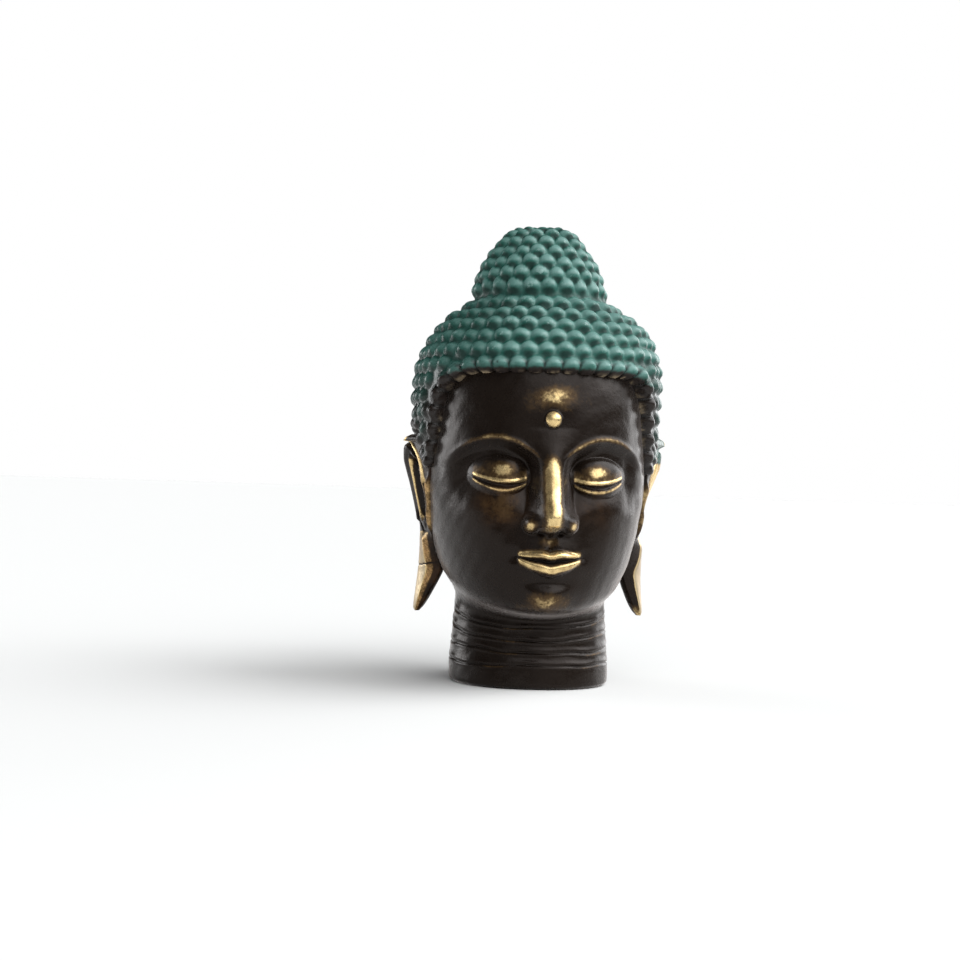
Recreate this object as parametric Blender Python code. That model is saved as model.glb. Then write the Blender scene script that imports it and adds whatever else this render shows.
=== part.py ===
# Small brass Buddha head, cast in one piece with its neck, its ears and its curled hair.
# It stands on the flat underside of the neck. The face looks along -Y and +Z is up.
import math

import bmesh
import bpy
import numpy as np
from mathutils import Vector
from mathutils.bvhtree import BVHTree

# Height of the whole casting, from the foot of the neck to the top of the hair knot
HEIGHT = 0.095
# Distance from one hair curl to the next along a row
CURL_PITCH = 0.00375
# How far a curl stands above the groove between it and its neighbours
CURL_RELIEF = 0.00135
# Thickness of the ears' plates
EAR_THICKNESS = 0.0031
# Depth of the slot inside each ear
EAR_SLOT_DEPTH = 0.0017
# Depth of the lines cut round the neck
NECK_LINE_DEPTH = 0.0004
# How far hidden parts of the hair and ears reach into the head
ROOT_DEPTH = 0.0015

# The carving below is laid out in shares, 95 to the height
SHARE = HEIGHT / 95.0
COLUMNS = 56
FACE_CENTRE_DENSITY = 0.42

# Level rings of the bare head, from the foot of the neck to the crown under the hair:
# height at the front, height at the back, half width, front reach, back reach, roundness
HEAD_RINGS = np.array([
    (0.0, 0.0, 15.4, 14.4, 18.2, 2.2),
    (0.8, 0.8, 16.4, 15.4, 19.2, 2.2),
    (3.5, 3.5, 16.4, 15.2, 19.0, 2.2),
    (9.0, 12.0, 15.9, 14.0, 18.2, 2.1),
    (13.4, 21.0, 15.5, 13.8, 17.8, 2.05),
    (14.9, 25.2, 16.4, 17.4, 19.0, 1.9),
    (15.6, 28.0, 17.5, 21.6, 20.2, 1.78),
    (17.2, 30.5, 18.8, 24.0, 21.4, 1.76),
    (21.0, 34.0, 20.2, 25.1, 22.8, 1.84),
    (26.4, 38.0, 21.3, 25.4, 24.4, 1.98),
    (31.7, 41.8, 22.0, 25.3, 25.5, 2.12),
    (37.5, 45.5, 22.5, 25.2, 26.4, 2.22),
    (43.0, 49.5, 22.5, 25.2, 27.0, 2.25),
    (47.5, 53.0, 22.3, 25.5, 27.2, 2.2),
    (55.0, 58.0, 22.1, 24.9, 27.2, 2.15),
    (63.3, 63.3, 21.4, 22.8, 26.2, 2.1),
    (70.0, 70.0, 18.8, 19.2, 22.8, 2.0),
    (76.0, 76.0, 13.0, 13.2, 15.5, 2.0),
    (79.0, 79.0, 7.5, 7.5, 8.5, 2.0),
    (80.0, 80.0, 0.0, 0.0, 0.0, 2.0),
])
# Heights at the front where the mesh has a row: foot, chin, mouth, nose, eyes, brows, mark, forehead, scalp
ROW_HEIGHTS = (
    0.0, 0.3, 0.8, 2.6, 14.2, 15.0, 15.6, 16.3, 17.4, 18.8, 20.2, 21.4, 22.4,
    23.3, 24.1, 24.9, 25.6, 26.15, 26.7, 27.3, 28.0, 28.7, 29.6,
    30.7, 31.5, 32.2, 33.0, 34.0, 35.3, 37.0, 38.7, 39.7, 40.5, 41.1, 41.9, 43.0, 44.4, 45.8, 47.0, 48.2,
    49.2, 50.1, 51.2, 52.2, 53.0, 53.8, 54.6, 55.6, 57.6, 60.4, 64.0, 69.0, 75.0,
)
# Places of the lines round the neck, counted in rings
NECK_LINES = (2.25, 2.70, 3.15, 3.62)

# Level rings of the hair, from the nape to the top of the knot:
# height, half width, front reach, back reach
HAIR_RINGS = np.array([
    (22.0, 14.5, 15.0, 18.4),
    (28.0, 18.9, 19.2, 21.9),
    (34.0, 22.3, 22.5, 25.7),
    (40.0, 24.1, 24.6, 28.4),
    (46.0, 25.2, 25.9, 30.0),
    (52.0, 25.7, 26.3, 30.8),
    (58.0, 26.0, 26.3, 30.9),
    (62.5, 26.0, 25.7, 30.5),
    (66.5, 25.3, 24.0, 29.3),
    (70.0, 24.0, 21.9, 27.7),
    (73.0, 22.2, 19.7, 25.5),
    (75.5, 19.7, 17.5, 22.7),
    (77.6, 16.5, 15.3, 19.2),
    (79.3, 14.7, 13.7, 16.9),
    (81.0, 14.1, 13.0, 16.0),
    (83.5, 13.4, 12.3, 15.0),
    (86.5, 12.1, 11.0, 13.4),
    (89.5, 10.3, 9.2, 11.7),
    (92.0, 8.4, 7.4, 9.7),
    (93.7, 6.1, 5.1, 7.3),
    (94.4, 3.4, 2.4, 4.6),
    (94.65, 0.0, -1.0, 1.0),
])
HAIR_ROUNDNESS = 2.15
# The hair and its knot are laid out round this point inside the head
HAIR_HEART = np.array((0.0, 2.0, 48.0))
# Height where the knot meets the skull's cap of hair
KNOT_FOOT = 79.8

# The hair's lower edge: degrees from the front, height
HAIRLINE = np.array([
    (0, 63.1), (34, 62.9), (44, 62.1), (50, 60.2), (55, 56.4), (59, 50.2), (64, 45.4),
    (70, 44.6), (77, 46.8), (84, 51.0), (98, 51.0), (108, 44.0), (120, 36.0), (145, 29.5), (180, 28.0),
])

# Level cuts through the ear on the +X side, from its top to the tip of the lobe:
# height, inner edge x and y, outer edge x and y, share of the full thickness
EAR_CUTS = (
    (51.4, 23.5, -4.4, 26.2, 2.4, 0.40),
    (50.7, 23.0, -5.8, 27.5, 3.3, 0.62),
    (50.0, 22.8, -6.4, 27.8, 3.7, 0.72),
    (49.0, 22.6, -6.8, 26.7, 3.6, 0.95),
    (47.6, 22.6, -6.9, 27.1, 4.0, 1.0),
    (45.6, 22.6, -6.9, 27.0, 4.4, 1.0),
    (43.0, 22.6, -6.6, 26.3, 4.8, 1.0),
    (40.5, 22.6, -6.2, 25.5, 5.1, 1.0),
    (38.0, 22.4, -5.5, 24.8, 5.4, 1.0),
    (35.5, 22.2, -4.7, 24.2, 5.4, 1.0),
    (33.4, 22.0, -3.8, 23.8, 5.2, 0.98),
    (30.8, 21.5, -2.6, 23.6, 4.9, 0.96),
    (28.3, 20.9, -1.4, 23.7, 4.8, 0.96),
    (25.5, 20.2, 0.0, 23.8, 4.8, 0.96),
    (22.8, 19.4, 1.3, 23.9, 4.9, 0.94),
    (20.4, 20.2, 2.1, 24.1, 5.0, 0.9),
    (18.0, 21.4, 2.9, 24.4, 5.1, 0.84),
    (16.0, 22.4, 3.6, 24.7, 5.2, 0.74),
    (14.5, 23.2, 4.3, 24.8, 5.3, 0.56),
    (13.7, 23.8, 4.7, 24.5, 5.2, 0.32),
)
# Edges of the ear's slot: height, share of the plate's width from its inner edge
EAR_RIM = ((32.6, 0.54), (33.5, 0.38), (34.6, 0.27), (36.2, 0.19), (38.5, 0.23), (41.0, 0.31), (43.0, 0.37),
           (44.2, 0.43), (45.5, 0.55), (46.4, 0.72))
EAR_CREST = ((32.6, 0.56), (33.5, 0.70), (35.6, 0.81), (38.0, 0.82), (41.0, 0.84), (43.0, 0.84), (45.6, 0.83),
             (46.4, 0.74))


def ease(start, end, value):
    t = np.clip((value - start) / (end - start), 0.0, 1.0)
    return t * t * (3.0 - 2.0 * t)


def bump(distance, width):
    return np.exp(-(distance / width) ** 2)


# A curve through the given points that never overshoots them
def curve_through(places, values, place):
    places = np.asarray(places, float)
    values = np.asarray(values, float)
    slopes = np.diff(values) / np.diff(places)
    tangents = np.zeros_like(values)
    product = slopes[1:] * slopes[:-1]
    total = slopes[1:] + slopes[:-1]
    safe = np.where(product > 0, total, 1.0)
    tangents[1:-1] = np.where(product > 0, 2.0 * product / safe, 0.0)
    tangents[0] = slopes[0]
    tangents[-1] = slopes[-1]
    place = np.clip(place, places[0], places[-1])
    index = np.clip(np.searchsorted(places, place) - 1, 0, len(places) - 2)
    step = places[index + 1] - places[index]
    t = (place - places[index]) / step
    return (
        values[index] * (1 + 2 * t) * (1 - t) ** 2
        + tangents[index] * step * t * (1 - t) ** 2
        + values[index + 1] * t * t * (3 - 2 * t)
        + tangents[index + 1] * step * t * t * (t - 1)
    )


# A rounded level ring: angle from the front, half width, front reach, back reach
def ring_point(angle, half_width, front, back, roundness):
    power = 2.0 / roundness
    side = np.sin(angle)
    ahead = np.cos(angle)
    x = half_width * np.sign(side) * np.abs(side) ** power
    y = -np.where(ahead > 0, front, back) * np.sign(ahead) * np.abs(ahead) ** power
    return x, y


# Carving of the face as a height above the bare head, by the thirds that such heads are drawn with:
# the foot of the nose at one third of the face, the brows at two thirds
def face_relief(x, z):
    across = np.abs(x)
    relief = np.zeros_like(across)
    # brows and the hollows under them
    brow = 50.0 - 0.0543 * (across - 11.0) ** 2
    under = brow - z
    reach = ease(1.8, 5.2, across) * (1 - ease(15.5, 21.0, across))
    relief -= 1.9 * ease(-0.1, 2.6, under) * (1 - ease(6.0, 14.0, under)) * reach
    relief -= 0.9 * bump(across - 4.6, 2.2) * bump(z - 43.5, 3.2)
    relief += 0.42 * bump(z - brow, 0.6) * ease(1.5, 3.5, across) * (1 - ease(15.0, 19.5, across))
    # eyes, nearly closed
    ball = np.clip(1 - ((across - 9.7) / 5.9) ** 2 - ((z - 42.6) / 3.9) ** 2, 0, 1)
    on_ball = ease(0.0, 0.12, ball)
    span = np.clip(1 - ((across - 9.7) / 5.3) ** 2, 0, 1)
    lash = 41.05 + ((across - 9.7) / 5.3) ** 2 + 0.07 * (across - 9.7)
    slit = 0.85 * span ** 0.8
    under_lid = 1 - ease(-0.16, 0.10, z - lash)
    over_rim = ease(-0.16, 0.12, z - lash + slit)
    relief += 2.3 * ball ** 0.62
    relief -= 0.6 * under_lid * over_rim * ease(0.0, 0.12, span) * on_ball
    relief += 0.22 * bump(z - lash - 0.38, 0.33) * ease(0.0, 0.12, span) * on_ball
    relief += 0.2 * bump(z - lash + slit + 0.42, 0.33) * ease(0.0, 0.12, span) * on_ball
    # nose
    ridge = curve_through(
        (30.7, 31.5, 32.3, 33.3, 34.7, 36.2, 38.5, 41.5, 44.5, 47.0, 49.5, 52.0),
        (0.0, 0.5, 2.9, 5.3, 6.3, 5.9, 4.7, 3.4, 2.3, 1.4, 0.6, 0.0), z)
    half = curve_through((31.0, 34.2, 38.0, 43.0, 46.5, 49.5, 52.0), (4.6, 5.2, 4.7, 4.2, 4.3, 5.4, 7.0), z)
    bridge = ridge * np.clip(1 - (across / half) ** 2, 0, 1) ** 1.5
    wing = 3.3 * np.clip(1 - ((across - 3.5) / 2.15) ** 2 - ((z - 33.6) / 2.2) ** 2, 0, 1) ** 0.7
    nose = (bridge ** 3 + wing ** 3) ** (1 / 3)
    relief += nose - 1.2 * bump(across - 2.0, 0.85) * bump(z - 32.0, 0.6)
    # mouth with its muzzle and the groove above it
    relief += 1.6 * bump(across, 8.5) * bump(z - 26.0, 5.5)
    groove = ease(28.4, 29.2, z) * (1 - ease(30.6, 31.4, z))
    relief += (0.22 * bump(across - 1.45, 0.6) - 0.38 * bump(across, 0.75)) * groove
    wide = 6.5
    r = np.clip(across / wide, 0, 1)
    parting = 26.35 + 0.7 * r ** 2 - 0.28 * bump(across, 1.3)
    top = parting + 2.3 * (1 - r ** 1.7) - 0.42 * bump(across, 1.1) + 0.12
    foot = parting - 2.8 * (1 - r ** 2) ** 0.75 - 0.1
    upper = np.clip((z - parting) / (top - parting), 0, 1)
    lower = np.clip((parting - z) / (parting - foot), 0, 1)
    end = np.clip(1 - r * r, 0, 1) ** 0.45
    relief += 1.25 * np.clip(1 - (2 * upper - 1) ** 2, 0, 1) ** 0.7 * (z >= parting) * end
    relief += 1.45 * np.clip(1 - (2 * lower - 1) ** 2, 0, 1) ** 0.7 * (z < parting) * end
    relief -= 0.45 * bump(z - parting, 0.3) * (1 - ease(wide - 0.5, wide + 0.8, across))
    relief -= 0.55 * bump(across - wide - 0.2, 1.1) * bump(z - 27.0, 1.1)
    # chin and cheeks
    relief -= 0.9 * bump(across, 5.0) * bump(z - 22.2, 1.4)
    relief += 1.4 * bump(across, 4.6) * bump(z - 18.9, 3.0)
    relief += 1.0 * bump(across - 12.5, 6.0) * bump(z - 31.0, 7.5)
    # the mark between the brows
    relief += 1.45 * np.clip(1 - (across / 1.7) ** 2 - ((z - 53.6) / 1.7) ** 2, 0, 1) ** 0.6
    return relief


# Lines cut round the neck: each a small groove under the edge of the band above it
def neck_relief(place):
    depth = NECK_LINE_DEPTH / SHARE
    relief = np.zeros_like(place)
    for line in NECK_LINES:
        offset = place - line
        relief -= depth * bump(offset, 0.05)
        relief += 0.45 * depth * bump(offset - 0.13, 0.09)
    return relief


# Point of the bare head: angle from the front, place counted in rings from the foot
def head_point(angle, place):
    numbers = np.arange(len(HEAD_RINGS), dtype=float)
    front_z, back_z, half, front, back, roundness = [
        curve_through(numbers, HEAD_RINGS[:, column], place) for column in range(6)]
    x, y = ring_point(angle, half, front, back, roundness)
    z = back_z + (front_z - back_z) * (1 + np.cos(angle)) / 2
    on_face = ease(0.15, 0.45, np.cos(angle)) * ease(15.0, 16.6, z)
    y = y - face_relief(x, z) * on_face
    cut = neck_relief(place)
    x = x + cut * np.sin(angle)
    y = y - cut * np.cos(angle)
    return np.stack([x, y, z], -1)


# Point of the hair's middle surface: angle from the front, place counted in rings from the nape
def hair_point(angle, place):
    numbers = np.arange(len(HAIR_RINGS), dtype=float)
    z, half, front, back = [curve_through(numbers, HAIR_RINGS[:, column], place) for column in range(4)]
    middle = (back - front) / 2
    reach = (back + front) / 2
    x, y = ring_point(angle, half, reach, reach, HAIR_ROUNDNESS)
    return np.stack([x, y + middle, z + 0 * x], -1)


def hairline_height(angle):
    return curve_through(HAIRLINE[:, 0], HAIRLINE[:, 1], np.degrees(np.abs(angle)))


def hair_place_of_height(height):
    places = np.linspace(0, len(HAIR_RINGS) - 1, 4000)
    numbers = np.arange(len(HAIR_RINGS), dtype=float)
    return np.interp(height, curve_through(numbers, HAIR_RINGS[:, 0], places), places)


def lengths_along(points):
    steps = np.linalg.norm(np.diff(points, axis=0), axis=1)
    return np.concatenate([[0.0], np.cumsum(steps)])


# Evenly spaced points on a closed line that starts at the back, one of them at the line's middle
# or as much of a step beside it as the shift says
def spaced_points(line, pitch, shift):
    along = lengths_along(line)
    count = max(3, int(round(along[-1] / pitch)))
    places = (np.arange(count) + (count / 2 + shift) % 1) / count * along[-1]
    return np.stack([np.interp(places, along, line[:, axis]) for axis in range(3)], -1)


# Centres of the curls: one row that follows the hairline, level rows above it, rows round the knot.
# Beside them the points just outside the hairline where the hair's edge goes into the head
def curl_layout():
    pitch = CURL_PITCH / SHARE
    angles = np.linspace(-math.pi, math.pi, 1441)
    line = hair_point(angles, hair_place_of_height(hairline_height(angles)))
    along = np.gradient(line, axis=0)
    along /= np.linalg.norm(along, axis=1)[:, None]
    outward = line - np.stack([0 * angles, 0 * angles + 2.0, np.minimum(line[:, 2], 58.0)], -1)
    outward /= np.linalg.norm(outward, axis=1)[:, None]
    upward = np.cross(along, outward)
    upward *= np.where(upward[:, 2:3] < 0, -1.0, 1.0)
    edge = spaced_points(line + 0.32 * pitch * upward, 0.98 * pitch, 0.0)
    foot = spaced_points(line - 0.28 * pitch * upward, 0.98 * pitch, 0.5)

    places = np.linspace(0, len(HAIR_RINGS) - 1, 3000)
    side = hair_point(np.full_like(places, math.pi / 2), places)
    front = hair_point(np.zeros_like(places), places)
    # rows are spaced down the sides, and down the front above the forehead
    side_climb = lengths_along(side)
    front_climb = lengths_along(front)
    is_high = side[:, 2] > HAIRLINE[0, 1]
    climb = np.where(is_high, front_climb - front_climb[is_high][0] + side_climb[is_high][0], side_climb)
    start = np.interp(HAIRLINE[0, 1], side[:, 2], climb) + 0.34 * pitch
    knot = np.interp(KNOT_FOOT, side[:, 2], climb)
    last = knot - 0.8 * pitch
    cap_rows = max(2, int(round((last - start) / (0.86 * pitch))))
    spacing = (last - start) / cap_rows
    below = int(start / spacing)
    levels = [(start + number * spacing, pitch) for number in range(-below, cap_rows + 1)]
    first = knot + 0.3 * pitch
    knot_rows = max(3, int(round((climb[-1] - first) / (0.69 * pitch))))
    knot_step = (climb[-1] - first) / knot_rows
    levels += [(first + number * knot_step, pitch) for number in range(knot_rows)]
    curls = []
    for number, (level, row_pitch) in enumerate(levels):
        place = np.interp(level, climb, places)
        row = hair_point(angles, np.full_like(angles, place))
        for point in spaced_points(row, row_pitch, 0.5 * ((number - below) % 2)):
            angle = math.atan2(point[0], -(point[1] - 1.5))
            if point[2] < hairline_height(np.array(angle)) + 0.3 * pitch:
                continue
            near_edge = np.linalg.norm(edge - point, axis=1).min()
            if near_edge > 0.66 * pitch:
                curls.append(point)
    curls.append(np.array((0.0, 1.0, HAIR_RINGS[-1, 0])))
    return np.array(list(edge) + curls), foot


def new_object(name, bm, material=None):
    bmesh.ops.recalc_face_normals(bm, faces=bm.faces)
    mesh = bpy.data.meshes.new(name)
    bm.to_mesh(mesh)
    bm.free()
    mesh.shade_smooth()
    mesh.set_sharp_from_angle(angle=math.radians(48))
    obj = bpy.data.objects.new(name, mesh)
    bpy.context.scene.collection.objects.link(obj)
    if material:
        mesh.materials.append(material)
    return obj


# A closed skin over rows of points, each row a closed loop, with a flat or pointed cap at both ends
def skin(rows):
    bm = bmesh.new()
    loops = [[bm.verts.new(Vector(point) * SHARE) for point in row] for row in rows]
    for lower, upper in zip(loops[:-1], loops[1:]):
        for number in range(len(lower)):
            after = (number + 1) % len(lower)
            quad = (lower[number], lower[after], upper[after], upper[number])
            # each four-sided cell is split along its shorter diagonal, and a tie is split alike on both sides
            rising = (quad[2].co - quad[0].co).length
            falling = (quad[3].co - quad[1].co).length
            tie = abs(rising - falling) < 0.001 * rising
            if rising < falling and not tie or tie and number < len(lower) / 2:
                bm.faces.new((quad[0], quad[1], quad[2]))
                bm.faces.new((quad[0], quad[2], quad[3]))
            else:
                bm.faces.new((quad[0], quad[1], quad[3]))
                bm.faces.new((quad[1], quad[2], quad[3]))
    caps = [bm.faces.new(loops[0]), bm.faces.new(loops[-1])]
    bmesh.ops.triangulate(bm, faces=caps)
    return bm


def head_skin():
    share = np.linspace(-1, 1, COLUMNS, endpoint=False)
    angles = math.pi * (FACE_CENTRE_DENSITY * share + (1 - FACE_CENTRE_DENSITY) * share ** 3)
    numbers = np.arange(len(HEAD_RINGS), dtype=float)
    fine = np.linspace(0, len(HEAD_RINGS) - 1, 6000)
    fine_heights = curve_through(numbers, HEAD_RINGS[:, 0], fine)
    places = [float(np.interp(height, fine_heights, fine)) for height in ROW_HEIGHTS]
    # the neck's rows lie on its lines and on the edges beside them
    places += [line + offset for line in NECK_LINES for offset in (-0.10, 0.0, 0.12)]
    places.append(len(HEAD_RINGS) - 1.12)
    return skin([head_point(angles, np.full_like(angles, place)) for place in sorted(places)])


# The cap of hair is a closed shell of shallow six-sided curls, found as the cells between the points
# that the curls' directions span. Where it lies under the face, it stays inside the head
def hair_skin(head_tree):
    curls, foot = curl_layout()
    heart = Vector(HAIR_HEART)
    relief = CURL_RELIEF / SHARE
    root = ROOT_DEPTH / SHARE

    def head_distance(direction):
        hit = head_tree.ray_cast(heart * SHARE, direction)
        return hit[3] / SHARE

    points = []
    for point in curls:
        arm = Vector(point) - heart
        points.append((arm.normalized(), arm.length, "curl"))
    for point in foot:
        direction = (Vector(point) - heart).normalized()
        points.append((direction, head_distance(direction) - root, "foot"))
    for place in (3.0, 6.0, 8.5, 10.5, 12.5, 14.2):
        for angle in np.linspace(-math.pi, math.pi, 18, endpoint=False) + 0.1 * place:
            x, y, z = head_point(np.array([angle]), np.array([place]))[0]
            if z < hairline_height(angle) - 6.0:
                arm = Vector((x, y, z)) - heart
                points.append((arm.normalized(), 0.6 * arm.length, "deep"))
    hull = bmesh.new()
    nodes = [hull.verts.new(direction) for direction, length, kind in points]
    bmesh.ops.convex_hull(hull, input=nodes)
    hull.verts.index_update()
    hull.faces.index_update()

    shell = bmesh.new()
    centres = []
    for direction, length, kind in points:
        raised = length + 0.3 * relief if kind == "curl" else length
        centres.append(shell.verts.new((heart + direction * raised) * SHARE))
    corners = {}
    for face in hull.faces:
        around = [points[vert.index] for vert in face.verts]
        middle = sum((direction for direction, length, kind in around), Vector()).normalized()
        hairs = [length for direction, length, kind in around if kind == "curl"]
        deep = [length for direction, length, kind in around if kind == "deep"]
        if len(hairs) == len(around):
            length = sum(hairs) / len(hairs) - 0.7 * relief
        elif hairs:
            surface = head_distance(middle)
            length = surface + (sum(hairs) / len(hairs) - surface) * (0.2 + 0.22 * len(hairs))
        elif deep:
            length = sum(deep) / len(deep)
        else:
            length = head_distance(middle) - root
        corners[face.index] = shell.verts.new((heart + middle * length) * SHARE)
    for edge in hull.edges:
        first, second = [corners[face.index] for face in edge.link_faces]
        start, end = [centres[vert.index] for vert in edge.verts]
        shell.faces.new((start, first, second))
        shell.faces.new((end, second, first))
    hull.free()
    return shell


# One ear: a long plate with a slot between two rims above, and a creased lobe that hangs free of the neck
def ear_skin(side):
    thickness = EAR_THICKNESS / SHARE
    slot = EAR_SLOT_DEPTH / SHARE
    rows = []
    for z, in_x, in_y, out_x, out_y, thick in EAR_CUTS:
        rim, crest = [float(curve_through(*zip(*line), z)) for line in (EAR_RIM, EAR_CREST)]
        slotted = slot * ease(32.4, 33.2, z) * (1 - ease(45.4, 46.4, z))
        lobe = 1 - ease(28.5, 31.0, z)
        flare = 0.7 * (1 - lobe) * (1 - ease(48.2, 49.0, z))
        strip = 0.7 * ease(29.0, 32.0, z) * (1 - ease(40.0, 43.0, z))
        gap = crest - rim
        # share of the width and height of the face: beside the slot above, and on the lobe
        beside = ((0.0, 0.0), (0.06, strip), (rim - 0.08, 0.0), (rim, 0.0), (rim + 0.25 * gap, -slotted),
                  (rim + 0.78 * gap, -slotted), (crest, 0.0), (0.93, flare), (1.0, flare - 0.45))
        hanging = ((0.0, -0.2), (0.12, 0.25), (0.25, 0.55), (0.36, 0.8), (0.46, 1.0),
                   (0.58, 0.78), (0.72, 0.5), (0.88, 0.2), (1.0, -0.2))
        face = [(a + (c - a) * lobe, b + (d * thick - b) * lobe) for (a, b), (c, d) in zip(beside, hanging)]
        back = [(share, -thickness * thick * deep) for share, deep in (
            (1.0, 0.5), (0.9, 1.0), (0.5, 1.0), (0.1, 1.0), (0.0, 0.5))]
        across = np.array((out_x - in_x, out_y - in_y))
        normal = np.array((across[1], -across[0])) / np.linalg.norm(across)
        row = []
        for share, lift in face + back:
            x, y = np.array((in_x, in_y)) + across * share + normal * lift
            row.append((side * x, y, z))
        rows.append(row)
    return skin(rows)


def join(target, tool):
    tool.hide_render = True
    tool.display_type = "WIRE"
    union = target.modifiers.new("join_" + tool.name, "BOOLEAN")
    union.operation = "UNION"
    union.solver = "EXACT"
    union.object = tool


def patinated_brass():
    material = bpy.data.materials.new("patinated_brass")
    material.use_nodes = True
    shader = material.node_tree.nodes["Principled BSDF"]
    shader.inputs["Base Color"].default_value = (0.045, 0.032, 0.022, 1.0)
    shader.inputs["Metallic"].default_value = 0.8
    shader.inputs["Roughness"].default_value = 0.36
    material.diffuse_color = (0.045, 0.032, 0.022, 1.0)
    return material


def main():
    for obj in list(bpy.data.objects):
        bpy.data.objects.remove(obj)
    head = head_skin()
    hair = hair_skin(BVHTree.FromBMesh(head))
    ears = [ear_skin(side) for side in (1, -1)]
    # the origin lies under the middle of the depth
    depths = [vert.co.y for bm in [head, hair] + ears for vert in bm.verts]
    shift = Vector((0.0, -(min(depths) + max(depths)) / 2, 0.0))
    for bm in [head, hair] + ears:
        bmesh.ops.translate(bm, verts=bm.verts, vec=shift)
    casting = new_object("buddha_head", head, patinated_brass())
    join(casting, new_object("hair_cap", hair))
    join(casting, new_object("ear_right", ears[0]))
    join(casting, new_object("ear_left", ears[1]))


main()
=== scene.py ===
# Small brass Buddha head with green curled hair: its fine surfaces, finishes, light and camera.
import math
from functools import reduce

import bmesh
import bpy
import numpy as np
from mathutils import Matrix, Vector, kdtree


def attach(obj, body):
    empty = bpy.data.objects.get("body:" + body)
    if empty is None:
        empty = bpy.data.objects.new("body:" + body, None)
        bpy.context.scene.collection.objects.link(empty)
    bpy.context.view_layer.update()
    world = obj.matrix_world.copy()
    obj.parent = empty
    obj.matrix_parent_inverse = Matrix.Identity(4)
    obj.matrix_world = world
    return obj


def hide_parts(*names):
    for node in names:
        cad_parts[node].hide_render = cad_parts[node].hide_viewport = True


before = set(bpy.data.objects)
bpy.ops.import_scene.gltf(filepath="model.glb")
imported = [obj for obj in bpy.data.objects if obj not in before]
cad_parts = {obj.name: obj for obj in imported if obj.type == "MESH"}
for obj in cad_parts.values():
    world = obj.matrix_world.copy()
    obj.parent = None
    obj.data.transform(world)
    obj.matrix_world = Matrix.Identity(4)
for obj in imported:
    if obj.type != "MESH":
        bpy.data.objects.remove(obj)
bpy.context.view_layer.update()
print("frame loaded")

# Forms are laid out in millimetres round the neck's axis; the part's origin is the middle of its depth
millimetre = 0.001
depthShift = 0.125
collection = bpy.context.scene.collection


def ease(start, end, value):
    t = np.clip((value - start) / (end - start), 0.0, 1.0)
    return t * t * (3.0 - 2.0 * t)


def bump(distance, width):
    return np.exp(-(distance / width) ** 2)


def curveThrough(places, values, place):  # a curve through the points that never overshoots them
    places = np.asarray(places, float)
    values = np.asarray(values, float)
    slopes = np.diff(values) / np.diff(places)
    product = slopes[1:] * slopes[:-1]
    total = np.where(product > 0, slopes[1:] + slopes[:-1], 1.0)
    tangents = np.zeros_like(values)
    tangents[1:-1] = np.where(product > 0, 2.0 * product / total, 0.0)
    tangents[0] = slopes[0]
    tangents[-1] = slopes[-1]
    place = np.clip(place, places[0], places[-1])
    index = np.clip(np.searchsorted(places, place) - 1, 0, len(places) - 2)
    step = places[index + 1] - places[index]
    t = (place - places[index]) / step
    start = values[index] * (1 + 2 * t) + tangents[index] * step * t
    end = values[index + 1] * (3 - 2 * t) + tangents[index + 1] * step * (t - 1)
    return start * (1 - t) ** 2 + end * t * t


def ringPoint(angle, halfWidth, front, back, roundness):
    power = 2.0 / roundness
    side = np.sin(angle)
    ahead = np.cos(angle)
    x = halfWidth * np.sign(side) * np.abs(side) ** power
    y = -np.where(ahead > 0, front, back) * np.sign(ahead) * np.abs(ahead) ** power
    return x, y


def gridMesh(name, points, material, attributes):
    # rows of closed loops, with a face over the first and the last; an attribute has a number for each point
    rows, columns = points.shape[:2]
    verts = (points.reshape(-1, 3) + (0.0, depthShift, 0.0)) * millimetre
    first = np.arange(rows - 1)[:, None] * columns
    here = np.arange(columns)[None, :]
    after = (here + 1) % columns
    quads = np.stack([first + here, first + after, first + columns + after, first + columns + here], -1)
    faces = quads.reshape(-1, 4).tolist()
    faces.append(list(range(columns))[::-1])
    faces.append([(rows - 1) * columns + number for number in range(columns)])
    mesh = bpy.data.meshes.new(name)
    mesh.from_pydata(verts.tolist(), [], faces)
    mesh.update()
    mesh.shade_smooth()
    for key, values in attributes.items():
        layer = mesh.attributes.new(key, "FLOAT", "POINT")
        layer.data.foreach_set("value", np.ascontiguousarray(values, dtype=np.float32).ravel())
    mesh.materials.append(material)
    piece = bpy.data.objects.new(name, mesh)
    collection.objects.link(piece)
    return piece


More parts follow.
